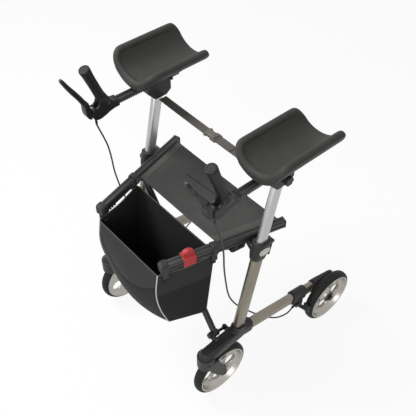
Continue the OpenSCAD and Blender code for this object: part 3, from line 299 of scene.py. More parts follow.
print("floor:", FLOOR_SIZE, "metres wide")


# %% [markdown]
# Two broad lamps do the rest: a key high in front on the far side, and a weaker fill on the camera's side.

# %% Lamps
def lamp(name, place, aim, size, watts):
    turn = (Vector(place) - Vector(aim)).to_track_quat("Z", "Y").to_euler()
    bpy.ops.object.light_add(type="AREA", location=place, rotation=turn)
    made = bpy.context.active_object
    made.name = name
    made.data.shape, made.data.size, made.data.energy = "DISK", size, watts


lamp("key", (-1.5, -1.0, 2.9), (0, -0.1, 0.6), size=1.4, watts=68)
lamp("fill", (1.6, -1.7, 1.6), (0, 0, 0.5), size=1.6, watts=24)
print("lamps ready")


# %% [markdown]
# Moulded plastic, foam, rubber and satin metal differ in colour, gloss and grain, but all of them have the same
# three layers: slow patches of tone, a fine grain that breaks up the shine, and paler edges, which are partly
# wear from handling and partly a painted highlight along the moulded edges. One builder makes them, and each
# finish gives it real sizes. Grain finer than about a millimetre would vanish in the picture, so it is drawn a
# little coarser than life.

# %% Plain finishes
PATCH_LOW, PATCH_HIGH, GLOSS_SWING = 0.3, 0.7, 0.05
EDGE_FROM, EDGE_FULL, EDGE_SHARE = 0.53, 0.62, 0.55


def per_metre(size_mm):
    return 1000 / size_mm


def blank(name):
    made = bpy.data.materials.new(name)
    made.use_nodes = True
    tree = made.node_tree
    return made, tree, tree.nodes["Principled BSDF"], add(tree, "TexCoord").outputs["Object"]


def finish(name, dark, pale, wear_and_highlight, patch_mm, grain_mm, grain_depth_mm, rough, metallic=0.0, shine=0.5):
    made, tree, skin, place = blank(name)
    patches = add(tree, "TexNoise", {"Vector": place, "Scale": per_metre(patch_mm), "Detail": 4.0})
    grain = add(tree, "TexNoise", {"Vector": place, "Scale": per_metre(grain_mm), "Detail": 2.0})
    slow = {"Value": patches.outputs["Fac"], "From Min": PATCH_LOW, "From Max": PATCH_HIGH}
    share = add(tree, "MapRange", slow)
    tone = add(tree, "MixRGB", {"Fac": share.outputs[0], "Color1": linear(dark), "Color2": linear(pale)})
    # Sharp edges are painted paler by their pointiness: partly wear, partly a painted highlight on moulded edges
    ridge = add(tree, "NewGeometry").outputs["Pointiness"]
    edge_wear_and_highlight = add(tree, "MapRange", {"Value": ridge, "From Min": EDGE_FROM, "From Max": EDGE_FULL,
                                    "To Max": EDGE_SHARE})
    colour = add(tree, "MixRGB", {"Fac": edge_wear_and_highlight.outputs[0], "Color1": tone.outputs[0], "Color2": linear(wear_and_highlight)})
    gloss = add(tree, "MapRange", {**slow, "To Min": rough - GLOSS_SWING, "To Max": rough + GLOSS_SWING})
    bump = add(tree, "Bump", {"Height": grain.outputs["Fac"], "Strength": 0.6, "Distance": grain_depth_mm * MM})
    fill(tree, skin, {"Base Color": colour.outputs[0], "Roughness": gloss.outputs[0], "Normal": bump.outputs[0],
                      "Metallic": metallic, "Specular IOR Level": shine})
    return made


# Injection moulded nylon with a fine spark texture
nylon = finish("moulded_nylon", "#262626", "#2f2f2f", "#454543", 60, 1.3, 0.06, 0.48, shine=0.3)
# Smoother nylon of the handles' housings
housing_nylon = finish("smooth_nylon", "#171717", "#1f1f1f", "#383836", 50, 1.0, 0.03, 0.38, shine=0.25)
# Integral-skin polyurethane foam: charcoal, with a leathery skin
foam = finish("polyurethane_foam", "#3a3a38", "#424240", "#50504d", 45, 1.8, 0.06, 0.6, shine=0.2)
# Thermoplastic rubber of the grips
rubber = finish("thermoplastic_rubber", "#191919", "#212120", "#383836", 35, 1.2, 0.06, 0.5, shine=0.2)
# Foamed polyurethane tyres
tyre_rubber = finish("polyurethane_tyre", "#1e1e1e", "#272727", "#3a3a3a", 30, 1.6, 0.08, 0.66, shine=0.22)
# Aluminium, bead blasted and anodised champagne
champagne = finish("anodised_aluminium_champagne", "#7d776b", "#898275", "#a29b8e", 120, 1.1, 0.015, 0.34, 0.8)
# Aluminium, anodised clear, on the sliding masts
silver = finish("anodised_aluminium_clear", "#b4b4b4", "#c0c0c0", "#d2d2d2", 120, 1.1, 0.015, 0.32, 0.85)
# Nylon rims under silver paint
rim_paint = finish("silver_painted_nylon", "#aca8a0", "#bcb8b1", "#d8d6d1", 40, 1.2, 0.02, 0.3, 0.65)
# Extruded bars, powder coated black
bar_coat = finish("powder_coat_black", "#1e1e1e", "#262626", "#3e3e3c", 70, 1.4, 0.05, 0.44, shine=0.4)
# Yellow zinc plated steel, for the plates that hold the brake cables
zinc_rod = finish("yellow_zinc_steel", "#9a917c", "#aca38d", "#c4bca8", 25, 1.0, 0.03, 0.34, 0.85)
# Blackened steel of the hinge rods
dark_rod = finish("blackened_steel", "#2a2927", "#363432", "#6a675f", 25, 1.0, 0.03, 0.34, 0.6)
# Painted shade: near-black nylon in the pits behind the brake levers, standing for the shade in the deep notch
pit_shade_paint = finish("painted_pit_shade", "#070707", "#0b0b0b", "#141414", 20, 1.2, 0.03, 0.7, shine=0.1)
# Badge plates: stamped aluminium, left bare
badge_metal = finish("stamped_aluminium", "#b6b3ae", "#c4c2bd", "#e2e1de", 12, 0.9, 0.03, 0.34, 0.7)
# Acetal slider, coloured red in the mass
red_acetal = finish("red_acetal", "#ae3639", "#bd3f42", "#c85d5c", 20, 1.2, 0.03, 0.5, shine=0.3)
# Vinyl sheath of the brake cables
sheath = finish("vinyl_sheath", "#191919", "#222222", "#343434", 25, 1.0, 0.03, 0.44, shine=0.4)
# Silver-white reflective tape, folded over a cord
piping_tape = finish("reflective_tape", "#bdbdbb", "#d6d6d4", "#e6e6e4", 18, 1.2, 0.04, 0.45, 0.25)
# Buckle: black acetal, coloured grey as a painted highlight of its lit faces
buckle_highlight_grey = finish("acetal_painted_highlight_grey", "#625e58", "#6c6861", "#807b73", 25, 1.0, 0.03, 0.46, shine=0.3)
print("plain finishes:", len(bpy.data.materials))


# %% [markdown]
# Cloth and webbing get their look from crossing threads. Two bands of waves at right angles make the weave:
# their product lifts the surface where threads cross, and the same pattern lightens the crown of each thread.
# Real threads are about 0.5 mm apart, too fine for the picture, so they are drawn about 3 mm apart.

# %% Woven finishes
WAVE_PERIOD = 2 * pi / 20
FADE_MM, THREAD_SHARE, FADE_SHARE = 55, 0.55, 0.45


def woven(name, dark, pale, thread_mm, depth_mm, rough, upright=False):
    made, tree, skin, place = blank(name)
    split = add(tree, "SeparateXYZ", {"Vector": place})
    # On an upright panel the weft runs round the bag and the warp runs up it
    if upright:
        round_it = add(tree, "Math", {0: split.outputs["X"], 1: split.outputs["Y"]}, operation="ADD")
        ways = (round_it.outputs[0], split.outputs["Z"])
    else:
        ways = (split.outputs["X"], split.outputs["Y"])
    flat = add(tree, "CombineXYZ", {"X": ways[0], "Y": ways[1]}).outputs[0]
    threads = {"Vector": flat, "Scale": WAVE_PERIOD / (thread_mm * MM), "Distortion": 0.6, "Detail": 1.0}
    weft, warp = (add(tree, "TexWave", threads, bands_direction=way) for way in "XY")
    crossing = add(tree, "Math", {0: weft.outputs["Fac"], 1: warp.outputs["Fac"]}, operation="MULTIPLY")
    fading = add(tree, "TexNoise", {"Vector": place, "Scale": per_metre(FADE_MM), "Detail": 3.0})
    faded = add(tree, "Math", {0: fading.outputs["Fac"], 1: FADE_SHARE}, operation="MULTIPLY")
    mixed = add(tree, "Math", {0: crossing.outputs[0], 1: THREAD_SHARE, 2: faded.outputs[0]},
                operation="MULTIPLY_ADD")
    share = add(tree, "MapRange", {"Value": mixed.outputs[0], "From Min": 0.1, "From Max": 0.75})
    colour = add(tree, "MixRGB", {"Fac": share.outputs[0], "Color1": linear(dark), "Color2": linear(pale)})
    bump = add(tree, "Bump", {"Height": crossing.outputs[0], "Strength": 0.7, "Distance": depth_mm * MM})
    fill(tree, skin, {"Base Color": colour.outputs[0], "Normal": bump.outputs[0], "Roughness": rough,
                      "Specular IOR Level": 0.2, "Sheen Weight": 0.06, "Sheen Roughness": 0.5})
    return made


# Seat: coated polyester in plain weave
seat_weave = woven("coated_polyester_seat", "#3f3f3e", "#555554", 3.2, 0.2, 0.8)
# Paler polyester tape along the seat's sides and round the top of the bag
hem_tape = woven("polyester_hem_tape", "#4a4947", "#5d5b58", 2.6, 0.2, 0.76)
# Bag: oxford polyester, darker below and a shade paler in the yoke panels
bag_weave = woven("oxford_polyester_dark", "#151515", "#1f1f1f", 3.0, 0.2, 0.82, upright=True)
yoke_weave = woven("oxford_polyester_grey", "#2a2a2a", "#383838", 3.0, 0.2, 0.8, upright=True)
lining = woven("bag_lining", "#0c0c0c", "#171717", 3.0, 0.2, 0.85, upright=True)
# Polypropylene webbing of the backrest strap
webbing = woven("polypropylene_webbing", "#55524e", "#6e6a64", 2.4, 0.25, 0.66)
print("woven finishes ready")


# %% [markdown]
# Modelling needs a few hand tools. Everything is deselected before a primitive is added, because the frame's
# solids are still selected after loading. A shape is fused by rebuilding it from small voxels, and then its
# edges are rubbed round, which is how a mould leaves them. A cut takes one shape out of another.

# %% Hand tools
WELD = 0.00001


def clear():
    if bpy.context.object and bpy.context.object.mode != "OBJECT":
        bpy.ops.object.mode_set(mode="OBJECT")
    bpy.ops.object.select_all(action="DESELECT")


def hold(obj):
    clear()
    obj.select_set(True)
    bpy.context.view_layer.objects.active = obj
    return obj


def started(name):
    made = bpy.context.active_object
    made.name = made.data.name = name
    return made


def mm(x, y, z):
    return Vector((x, y, z)) * MM


def moved(x, y, z):
    return Matrix.Translation(mm(x, y, z))


def apply(obj, kind, **settings):
    hold(obj)
    modifier = obj.modifiers.new(kind.lower(), kind)
    for key, value in settings.items():
        setattr(modifier, key, value)
    bpy.ops.object.modifier_apply(modifier=modifier.name)
    return obj


def put(obj, matrix):
    hold(obj)
    obj.matrix_world = matrix
    bpy.ops.object.transform_apply(location=True, rotation=True, scale=True)
    return obj


def edit_all():
    bpy.ops.object.mode_set(mode="EDIT")
    bpy.ops.mesh.select_all(action="SELECT")


def close_up(obj):
    hold(obj)
    edit_all()
    bpy.ops.mesh.remove_doubles(threshold=WELD)
    bpy.ops.mesh.normals_make_consistent(inside=False)
    bpy.ops.object.mode_set(mode="OBJECT")
    return obj


def smooth(obj, angle=35):
    hold(obj)
    bpy.ops.object.shade_smooth_by_angle(angle=radians(angle))
    return obj


def join(first, *others):
    hold(first)
    for other in others:
        other.select_set(True)
    bpy.ops.object.join()
    return first


def fused(obj, voxel_mm):
    return apply(obj, "REMESH", mode="VOXEL", voxel_size=voxel_mm * MM)


def rounded(obj, rounds, keep=None):
    """Edges smoothed round a few times, with a share of the faces kept where one is given."""
    apply(obj, "SMOOTH", factor=0.5, iterations=rounds)
    if keep:
        apply(obj, "DECIMATE", ratio=keep)
    hold(obj)
    bpy.ops.object.shade_smooth()
    return obj


def cut(obj, tool, kind="DIFFERENCE", **settings):
    apply(obj, "BOOLEAN", operation=kind, object=tool, solver="EXACT", **settings)
    bpy.data.objects.remove(tool)


print("hand tools ready")


# %% [markdown]
# Most shapes start from a few written points. One tool spins an outline on a lathe, one pulls a ring through
# stations, one lays a grid over a surface, one runs a round cord along points, and one places a plain block.
# Each works at full size and in place, so that a piece's origin stays at the walker's own.

# %% Shapes from points
def turned(name, outline, steps):
    """A closed outline of (along, radius) points in mm, spun about X."""
    clear()
    bpy.ops.mesh.primitive_circle_add(vertices=len(outline))
    made = started(name)
    for vertex, (along, radius) in zip(made.data.vertices, outline):
        vertex.co = mm(along, 0, radius)
    edit_all()
    bpy.ops.mesh.spin(steps=steps, angle=2 * pi, center=(0, 0, 0), axis=(1, 0, 0))
    return close_up(made)


def pulled(name, rings, top_open=False):
    """A ring of points is extruded from station to station, and the ends are filled."""
    clear()
    bpy.ops.mesh.primitive_circle_add(vertices=len(rings[0]))
    made = started(name)
    edit_all()
    row = list(range(len(rings[0])))
    for k, ring in enumerate(rings):
        if k:
            bpy.ops.mesh.extrude_region_move()
        work = bmesh.from_edit_mesh(made.data)
        work.verts.index_update()
        work.verts.ensure_lookup_table()
        if k:
            ends = [[e.other_vert(work.verts[i]) for e in work.verts[i].link_edges] for i in row]
            row = [next(vertex.index for vertex in near if vertex.select) for near in ends]
        for i, point in zip(row, ring):
            work.verts[i].co = point
        bmesh.update_edit_mesh(made.data)
    work = bmesh.from_edit_mesh(made.data)
    for vertex in work.verts:
        vertex.select_set(vertex.index < len(rings[0]) or not top_open)
    work.select_flush_mode()
    bmesh.update_edit_mesh(made.data)
    bpy.ops.mesh.fill_holes(sides=0)
    return close_up(made)


def laid(name, across, along, place):
    """A grid whose points, each from -1 to 1 both ways, go where place puts them."""
    clear()
    bpy.ops.mesh.primitive_grid_add(x_subdivisions=across, y_subdivisions=along, size=2)
    made = started(name)
    for vertex in made.data.vertices:
        vertex.co = place(vertex.co.x, vertex.co.y)
    return made


def cord(name, points, radius, cyclic=False, sides=3):
    """A round cord along five points or more: a new path already has five."""
    clear()
    bpy.ops.curve.primitive_nurbs_path_add()
    made = started(name)
    line = made.data.splines[0]
    line.points.add(len(points) - len(line.points))
    for knot, at in zip(line.points, points):
        knot.co = (*at, 1)
    line.use_cyclic_u, line.use_endpoint_u = cyclic, not cyclic
    line.order_u, line.resolution_u = 4, 3
    made.data.bevel_depth, made.data.bevel_resolution = radius, sides
    made.data.use_fill_caps = not cyclic
    bpy.ops.object.convert(target="MESH")
    return close_up(bpy.context.active_object)


def block(name, centre, size):
    clear()
    bpy.ops.mesh.primitive_cube_add(size=1)
    return put(started(name), Matrix.Translation(centre) @ Matrix.Diagonal((*size, 1)))


print("shaping tools ready")


# %% [markdown]
# The walker is the same on both sides, so the left piece is made and its twin is mirrored. Every finished piece
# then rides on a body of the frame, takes the slot of its finish and stands for the solids that it covers.

# %% Pairs and bodies
def copied(obj, name, matrix):
    hold(obj)
    bpy.ops.object.duplicate()
    return put(started(name), matrix)


def twin(obj, name):
    return close_up(copied(obj, name, Matrix.Scale(-1, 4, (1, 0, 0))))


def skin_with(obj, *materials):
    obj.data.materials.clear()
    for material in materials:
        obj.data.materials.append(material)
    return obj


def settle(obj, body, slot, *nodes):
    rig.ride(obj, body)
    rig.slot(obj, slot)
    if nodes:
        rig.replaces(obj, *nodes)
    return obj


def pair(obj, name, body, slot, *nodes):
    """The left piece and its mirrored twin settle on their own sides."""
    other = twin(obj, "right_" + name)
    obj.name = obj.data.name = "left_" + name
    for side, piece in zip(SIDES, (obj, other)):
        settle(piece, f"{side}_{body}", slot, *[f"{side}_{node}" for node in nodes])
    return obj, other


print("pairing tools ready")


# %% [markdown]
# Many plastic parts already have the right shape as solids, but with knife edges where a moulded part has radii.
# A copy of the solid is fused and rounded, so flat faces stay flat and every edge gets a moulded radius.
# Straight tubes and bars only need a merged copy with a tiny bevel.

# %% Copies of solids
EASE_MM, EASE_FROM = 0.6, 40


def copy_of(node, name):
    made = bpy.data.objects.new(name, frame["nodes"][node].data.copy())
    bpy.context.scene.collection.objects.link(made)
    made.data.materials.clear()
    return close_up(made)


def moulded(node, name, voxel_mm, rounds):
    return rounded(fused(copy_of(node, name), voxel_mm), rounds)


def eased(node, name):
    made = copy_of(node, name)
    apply(made, "BEVEL", width=EASE_MM * MM, segments=2, limit_method="ANGLE", angle_limit=radians(EASE_FROM))
    return smooth(made, 32)


print("copying tools ready")


# %% [markdown]
# Each wheel has a silver nylon rim: a deep barrel that is open to the outside, with five spokes far back in it
# and a long hub that carries a black cap. The rim is spun on a lathe, five round windows are cut through its
# web, and it is relaxed like a moulded part. The tyre is a round-shouldered band.

# %% Wheels
WHEEL_R = 100
FRONT_WHEEL, REAR_WHEEL = (252, -237, WHEEL_R), (286, 237, WHEEL_R)
WINDOWS, WINDOW_AT, WINDOW_BACK_R, WINDOW_FRONT_R, WINDOW_DEPTH = 5, 50, 19.5, 27, 36
HUB_CAP_R, HUB_CAP_FROM = 18.6, 11
outer = [(17, 88.4), (17.9, 87.6), (17.9, 85.6), (16.8, 84), (9, 80.6), (2, 77), (-2, 72), (-4, 66), (-5, 50),
         (-4.6, 36), (-2, 26), (3, 21), (10, 18.8), (15, 18), (16.6, 16.6), (17, 6.4)]
inner = [(-18.6, 6.4), (-18.6, 17), (-16.4, 20), (-14, 26), (-13.4, 40), (-13.4, 62), (-14, 74), (-16.6, 83),
         (-17.9, 85.6), (-17.9, 87.6), (-17, 88.4)]
rim = turned("rim", outer + inner, 96)
cutters = []
for k in range(WINDOWS):
    turn = Matrix.Rotation(2 * pi * (k + 0.5) / WINDOWS, 4, "X")
    clear()
    bpy.ops.mesh.primitive_cone_add(vertices=48, radius1=WINDOW_BACK_R * MM, radius2=WINDOW_FRONT_R * MM,
                                    depth=WINDOW_DEPTH * MM)
    cutters.append(put(started("window"), turn @ moved(0, 0, WINDOW_AT) @ Matrix.Rotation(pi / 2, 4, "Y")))
cut(rim, join(*cutters), use_self=True)
rounded(fused(rim, voxel_mm=1.3), rounds=3, keep=0.45)
skin_with(rim, rim_paint, nylon)
for face in rim.data.polygons:
    at = face.center / MM
    face.material_index = int(sqrt(at.y ** 2 + at.z ** 2) < HUB_CAP_R and at.x > HUB_CAP_FROM)

half = [(0, 100), (5, 99.6), (9, 98.4), (12.4, 96.3), (15, 93.4), (16.6, 90.4), (17.2, 88), (16, 85)]
band = half + [(-along, radius) for along, radius in reversed(half) if along]
tyre = skin_with(smooth(turned("tyre", band, 120), 28), tyre_rubber)

for end, place in (("front", FRONT_WHEEL), ("rear", REAR_WHEEL)):
    for piece, part, slot in ((rim, "rim", "rim_silver"), (tyre, "tyre", "tyre")):
        made = copied(piece, part, moved(*place))
        pair(made, f"{end}_{part}_dressed", f"{end}_wheel", slot, f"{end}_{part}")
for piece in (rim, tyre):
    bpy.data.objects.remove(piece)
print("wheels dressed")


# %% [markdown]
# The frame of each side is tube and casting. Tubes, masts, bars and braces are straight extrusions, so their
# solids are right as they are and only get soft edges. The castings, collars, brackets and brake parts are
# moulded copies. So is the clamp under each trough, but the real one is slimmer than its solid, so it is drawn
# in towards the trough.

# %% Tubes, bars and castings
straight = {"upright": ("frame", "champagne_tube", champagne), "rail": ("frame", "champagne_tube", champagne),
            "mast": ("mast", "silver_tube", silver),
            "hinge_rod": ("frame", "zinc_rod", dark_rod), "arm_bar": ("reach", "black_plastic", bar_coat),
            "brace": ("brace", "bar_black", bar_coat), "seat_bar": ("seat_bar", "bar_black", bar_coat)}
for node, (body, slot, material) in straight.items():
    for side in SIDES:
        made = skin_with(eased(f"{side}_{node}", f"{side}_{node}_dressed"), material)
        settle(made, f"{side}_{body}", slot, f"{side}_{node}")

castings = {"casting": ("frame", 2.0, 8), "collar": ("frame", 1.5, 4),
            "rear_bracket": ("frame", 2.0, 5), "brake_mount": ("frame", 1.4, 4),
            "brake_arm": ("brake_arm", 1.1, 3), "height_lever": ("height_lever", 1.0, 4),
            "reach_knob": ("reach_knob", 0.9, 3), "bar_fittings": ("seat_bar", 1.1, 2)}
for node, (body, voxel, rounds) in castings.items():
    made = skin_with(moulded("left_" + node, node, voxel, rounds), nylon)
    pair(made, node + "_dressed", body, "black_plastic", node)
CLAMP_TOP, CLAMP_SLIM = (252, -35, 870), (0.86, 0.96, 0.88)
clamp = moulded("left_clamp", "clamp", voxel_mm=1.5, rounds=4)
put(clamp, moved(*CLAMP_TOP) @ Matrix.Diagonal((*CLAMP_SLIM, 1)) @ Matrix.Translation(-mm(*CLAMP_TOP)))
pair(skin_with(clamp, nylon), "clamp_dressed", "mast", "black_plastic", "clamp")
latch = skin_with(moulded("fold_latch", "fold_latch_dressed", voxel_mm=0.9, rounds=2), red_acetal)
settle(latch, "fold_latch", "latch_red", "fold_latch")
print("frame dressed")


# %% [markdown]
# Each front wheel turns in a fork: a round crown with two arms that sweep back and down like horns to the axle.
# An arm's side outline is pulled to its thickness, the wheel's well is cut out of the crown, and the three are
# fused and relaxed. A bare oval plate with a raised rim closes each collar.

# %% Forks and badges
SIDE_X, AXLE_Y, AXLE_Z = FRONT_WHEEL
SWIVEL_Y, CROWN_MID_Z, CROWN_DEPTH = -293, 203, 50
FORK_ARM = ((-308, 206), (-302, 188), (-287, 152), (-268, 120), (-254, 101), (-246, 92), (-237, 88.5),
            (-228, 93), (-226, 104), (-231, 121), (-241, 148), (-255, 182), (-264, 206))
FORK_SIDE, FORK_ARM_T, CROWN_R, WELL_R = 21, 8, 28, 103
BOLT_R, BOLT_DEPTH = 4.5, 10


def rod_along_x(name, x, y, z, radius, length):
    clear()
    bpy.ops.mesh.primitive_cylinder_add(vertices=72, radius=radius * MM, depth=length * MM)
    return put(started(name), moved(x, y, z) @ Matrix.Rotation(pi / 2, 4, "Y"))


def slab(name, outline, inner_x, outer_x):
    """A side outline of (y, z) points, pulled across the left side's middle."""
    return pulled(name, [[mm(SIDE_X + x, y, z) for y, z in outline] for x in (inner_x, outer_x)])


clear()
bpy.ops.mesh.primitive_cylinder_add(vertices=72, radius=CROWN_R * MM, depth=CROWN_DEPTH * MM)
crown = put(started("crown"), moved(SIDE_X, SWIVEL_Y, CROWN_MID_Z))
cut(crown, rod_along_x("well", SIDE_X, AXLE_Y, AXLE_Z, WELL_R, 2 * FORK_SIDE))
arm_outer = FORK_SIDE + FORK_ARM_T
arms = [slab("arm", FORK_ARM, sign * FORK_SIDE, sign * arm_outer) for sign in (1, -1)]
cut(arms[0], rod_along_x("bolt_hole", SIDE_X + arm_outer, AXLE_Y, AXLE_Z, BOLT_R, BOLT_DEPTH))
fork = rounded(fused(join(crown, *arms), voxel_mm=1.4), rounds=8)
pair(skin_with(fork, nylon), "fork_dressed", "fork", "black_plastic", "fork")

BADGE_AT, BADGE_LEAN, BADGE_HALF = (273.4, -94, 581), radians(-12), (21, 13)
BADGE = [(-2, 0.05), (-2, 12.4), (0.6, 13), (1.1, 12.6), (1.1, 11.4), (0.5, 10.8), (0.5, 0.05)]
plate = turned("badge", BADGE, 64)
put(plate, moved(*BADGE_AT) @ Matrix.Rotation(BADGE_LEAN, 4, "X")
    @ Matrix.Diagonal((1, BADGE_HALF[0] / BADGE_HALF[1], 1, 1)))
pair(skin_with(smooth(plate), badge_metal), "badge_dressed", "frame", "badge_plate", "badge")
print("forks and badges dressed")


# %% [markdown]
# The forearm troughs are moulded foam: a half pipe with a thick floor. Unrolled, it would be a rectangle with
# rounded corners, and a broad bead follows its two long edges and the front one. At the rear the bowl runs out
# to a plain edge. The bowl is a ring of points pulled along the arm, and the bead is a cord along its edge. The
# two are fused and relaxed, which leaves the shallow crease that the real skin shows between bowl and bead.

# %% Forearm troughs
TROUGH_REAR, TROUGH_FRONT, TROUGH_AXIS, TROUGH_R = 99.6, -138, 955.3, 86.8
WALL_TURN, LIP_TURN, REAR_TURN, ROLL_TURN = 80, 42, 52, 7
LIP_LEN, REAR_LEN = 32, 22
PAD_WALL, PAD_FLOOR = 12.5, 26
BEAD_R, BEAD_PROUD, BEAD_REAR, BEAD_INSET, BEAD_INSET_TURN = 11.2, 4, 74, 7, 5
BEAD_HOOK, HOOK_TURN = 13, 16
STRAIGHT_STEPS, CORNER_STEPS, LIP_STEPS = 12, 8, 4


def limited(t):
    return min(1, max(0, t))


def ease(t):
    return limited(t) ** 2 * (3 - 2 * limited(t))


def quarter(t):
    return sqrt(1 - limited(t) ** 2)


def trough_at(turn, y, depth, outwards=0.0):
    """A point turn degrees from the lowest line: depth is 0 at the outer skin and 1 in the bowl."""
    pad = PAD_WALL + (PAD_FLOOR - PAD_WALL) * max(0, cos(pi / 2 * turn / WALL_TURN))
    radius = TROUGH_R - pad * depth + outwards
    angle = radians(turn + ROLL_TURN)
    return mm(SIDE_X + radius * sin(angle), y, TROUGH_AXIS - radius * cos(angle))


def trough_reach(y):
    at_lip = quarter((TROUGH_FRONT + LIP_LEN - y) / LIP_LEN)
    at_rear = quarter((y - TROUGH_REAR + REAR_LEN) / REAR_LEN)
    return LIP_TURN + (WALL_TURN - LIP_TURN) * at_lip - (WALL_TURN - REAR_TURN) * (1 - at_rear)


ACROSS, ALONG = 44, 60
shares = [-1 + 2 * k / ACROSS for k in range(ACROSS + 1)]
rings = []
for k in range(ALONG + 1):
    y = TROUGH_REAR + (TROUGH_FRONT - TROUGH_REAR) * (1 - cos(pi * k / ALONG)) / 2
    reach = trough_reach(y)
    rings.append([trough_at(u * reach, y, 0) for u in shares]
                 + [trough_at(u * reach, y, 1) for u in reversed(shares)])
bowl = pulled("trough", rings)
wall_line, bead_front = WALL_TURN - BEAD_INSET_TURN, TROUGH_FRONT + BEAD_INSET
corner_y, bead_out = TROUGH_FRONT + LIP_LEN, BEAD_R - BEAD_PROUD
edge = []
for k in (3, 2, 1):
    bend = pi / 8 * k
    edge.append((-wall_line + HOOK_TURN * (1 - cos(bend)), BEAD_REAR + BEAD_HOOK * sin(bend)))
hook_turn, hook_y = edge[0]
for k in range(STRAIGHT_STEPS):
    edge.append((-wall_line, BEAD_REAR + (corner_y - BEAD_REAR) * k / STRAIGHT_STEPS))
for k in range(CORNER_STEPS + 1):
    bend = pi / 2 * k / CORNER_STEPS
    edge.append((-LIP_TURN - (wall_line - LIP_TURN) * cos(bend),
                 corner_y + (bead_front - corner_y) * sin(bend)))
for k in range(1, LIP_STEPS):
    edge.append((-LIP_TURN * (1 - k / LIP_STEPS), bead_front))
edge += [(0, bead_front)] + [(-turn, y) for turn, y in reversed(edge)]
bead = cord("bead", [trough_at(turn, y, 1, bead_out) for turn, y in edge], BEAD_R * MM, sides=5)
ends = []
for sign in (1, -1):
    clear()
    bpy.ops.mesh.primitive_uv_sphere_add(segments=32, ring_count=16, radius=BEAD_R * MM)
    hook = trough_at(sign * hook_turn, hook_y, 1, bead_out)
    ends.append(put(started("bead_end"), Matrix.Translation(hook)))
trough = rounded(fused(join(bowl, bead, *ends), voxel_mm=1.7), rounds=4)
skin_with(trough, foam)
for piece in pair(trough, "trough_dressed", "mast", "trough_foam", "trough"):
    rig.padded(piece, fill=0.95)
print("troughs:", len(trough.data.polygons), "faces each")


# %% [markdown]
# A hand grip stands up from each handle: a rubber sleeve with a narrow waist and a flat head with a small
# dimple. The housing below it is one smooth moulding. Its side outline is pulled to its width, a flared ring
# carries the grip's outline down into it, and the whole is fused and relaxed. A notch behind the lever shows
# the cable's zinc anchor, and the faces in the notch are painted near-black as painted shade of the deep pit.

# %% Grips and housings
GRIP_BASE, GRIP_LEAN = (252, -232.4, 872), radians(20)
upright_to_grip = moved(*GRIP_BASE) @ Matrix.Rotation(GRIP_LEAN, 4, "X") @ Matrix.Rotation(-pi / 2, 4, "Y")
outline = [(-4, 4), (-4, 17.4), (3, 17), (10, 15.8), (24, 14.8), (44, 14.3), (68, 14.2), (90, 14.5),
           (107, 15.2), (117, 15.8), (121, 16.1), (125, 16), (127.2, 15.3), (128, 14), (128, 10.6),
           (127.5, 10.2), (127.5, 9.4), (128, 9), (128, 1.7), (126.4, 1.4), (126.4, 0.05), (-3, 0.05)]
grip = skin_with(put(smooth(turned("grip", outline, 64), 50), upright_to_grip), rubber)
pair(grip, "grip_dressed", "reach", "grip_rubber", "grip")

HOUSING = ((-276.4, 837), (-272, 829), (-262, 825), (-250, 825), (-236, 829), (-222, 835), (-204, 839),
           (-186.4, 839.5), (-186.4, 861), (-200, 862), (-210, 868), (-216, 878), (-223, 890), (-248, 881),
           (-252, 869), (-260, 863), (-276.4, 864))
HOUSING_HALF, SPOUT_Y, SPOUT_R = 15, -262.4, 4
NOTCH_LOW, NOTCH_HIGH, NOTCH_SKIN = mm(-8, -273, 842), mm(8, -243, 896), 0.4 * MM
FLARE = [(-14, 12), (-14, 18), (-7, 19), (0, 18.6), (6, 17.8), (12, 16.9), (18, 16.2), (18, 12)]
housing = slab("handle", HOUSING, -HOUSING_HALF, HOUSING_HALF)
flare = put(turned("flare", FLARE, 48), upright_to_grip)
spout = cord("spout", [mm(SIDE_X, SPOUT_Y, z) for z in (838, 830, 822, 814, 808, 802)], SPOUT_R * MM)
handle = fused(join(housing, flare, spout), voxel_mm=1.2)
to_side = mm(SIDE_X, 0, 0)
cut(handle, block("notch", (NOTCH_LOW + NOTCH_HIGH) / 2 + to_side, NOTCH_HIGH - NOTCH_LOW))
rounded(handle, rounds=8)
skin_with(handle, housing_nylon, pit_shade_paint)
low, high = NOTCH_LOW + to_side, NOTCH_HIGH + to_side
# The faces inside the notch take the painted shade
for face in handle.data.polygons:
    in_shaded_pit = (a - NOTCH_SKIN < c < b + NOTCH_SKIN for a, c, b in zip(low, face.center, high))
    face.material_index = int(all(in_shaded_pit))
pair(handle, "handle_dressed", "reach", "black_plastic", "handle")
ANCHOR, ANCHOR_HALF = ((-275, 866), (-263, 861), (-263, 859), (-275, 864)), 7
anchor = slab("anchor", ANCHOR, -ANCHOR_HALF, ANCHOR_HALF)
apply(anchor, "BEVEL", width=0.5 * MM, segments=2)
pair(skin_with(smooth(anchor), zinc_rod), "cable_anchor", "reach", "zinc_rod")
print("grips and housings dressed")


# %% [markdown]
# The brake lever is a deep blade on a long S curve, with a dimple in each side and a heavy root round its pin.
# The curve is a Bezier with four written points, and a soft rectangle is pulled along it.

# %% Brake levers
LEVER = ((-288.4, 866), (-291, 906), (-320, 930), (-348.4, 992))
LEVER_STEPS, LEVER_SIDES, LEVER_SQUARE = 28, 24, -0.4
TIP_FROM, TIP_LEN, TIP_LEAST = 0.92, 0.08, 0.06
DENT_T, DENT_ENDS, DENT_X, DENT_HALF = 0.78, (0.72, 0.84), 9.6, (2.4, 3, 15)


def lever_point(t):
    weights = ((1 - t) ** 3, 3 * t * (1 - t) ** 2, 3 * t * t * (1 - t), t ** 3)
    return Vector([sum(w * p[n] for w, p in zip(weights, LEVER)) for n in (0, 1)])


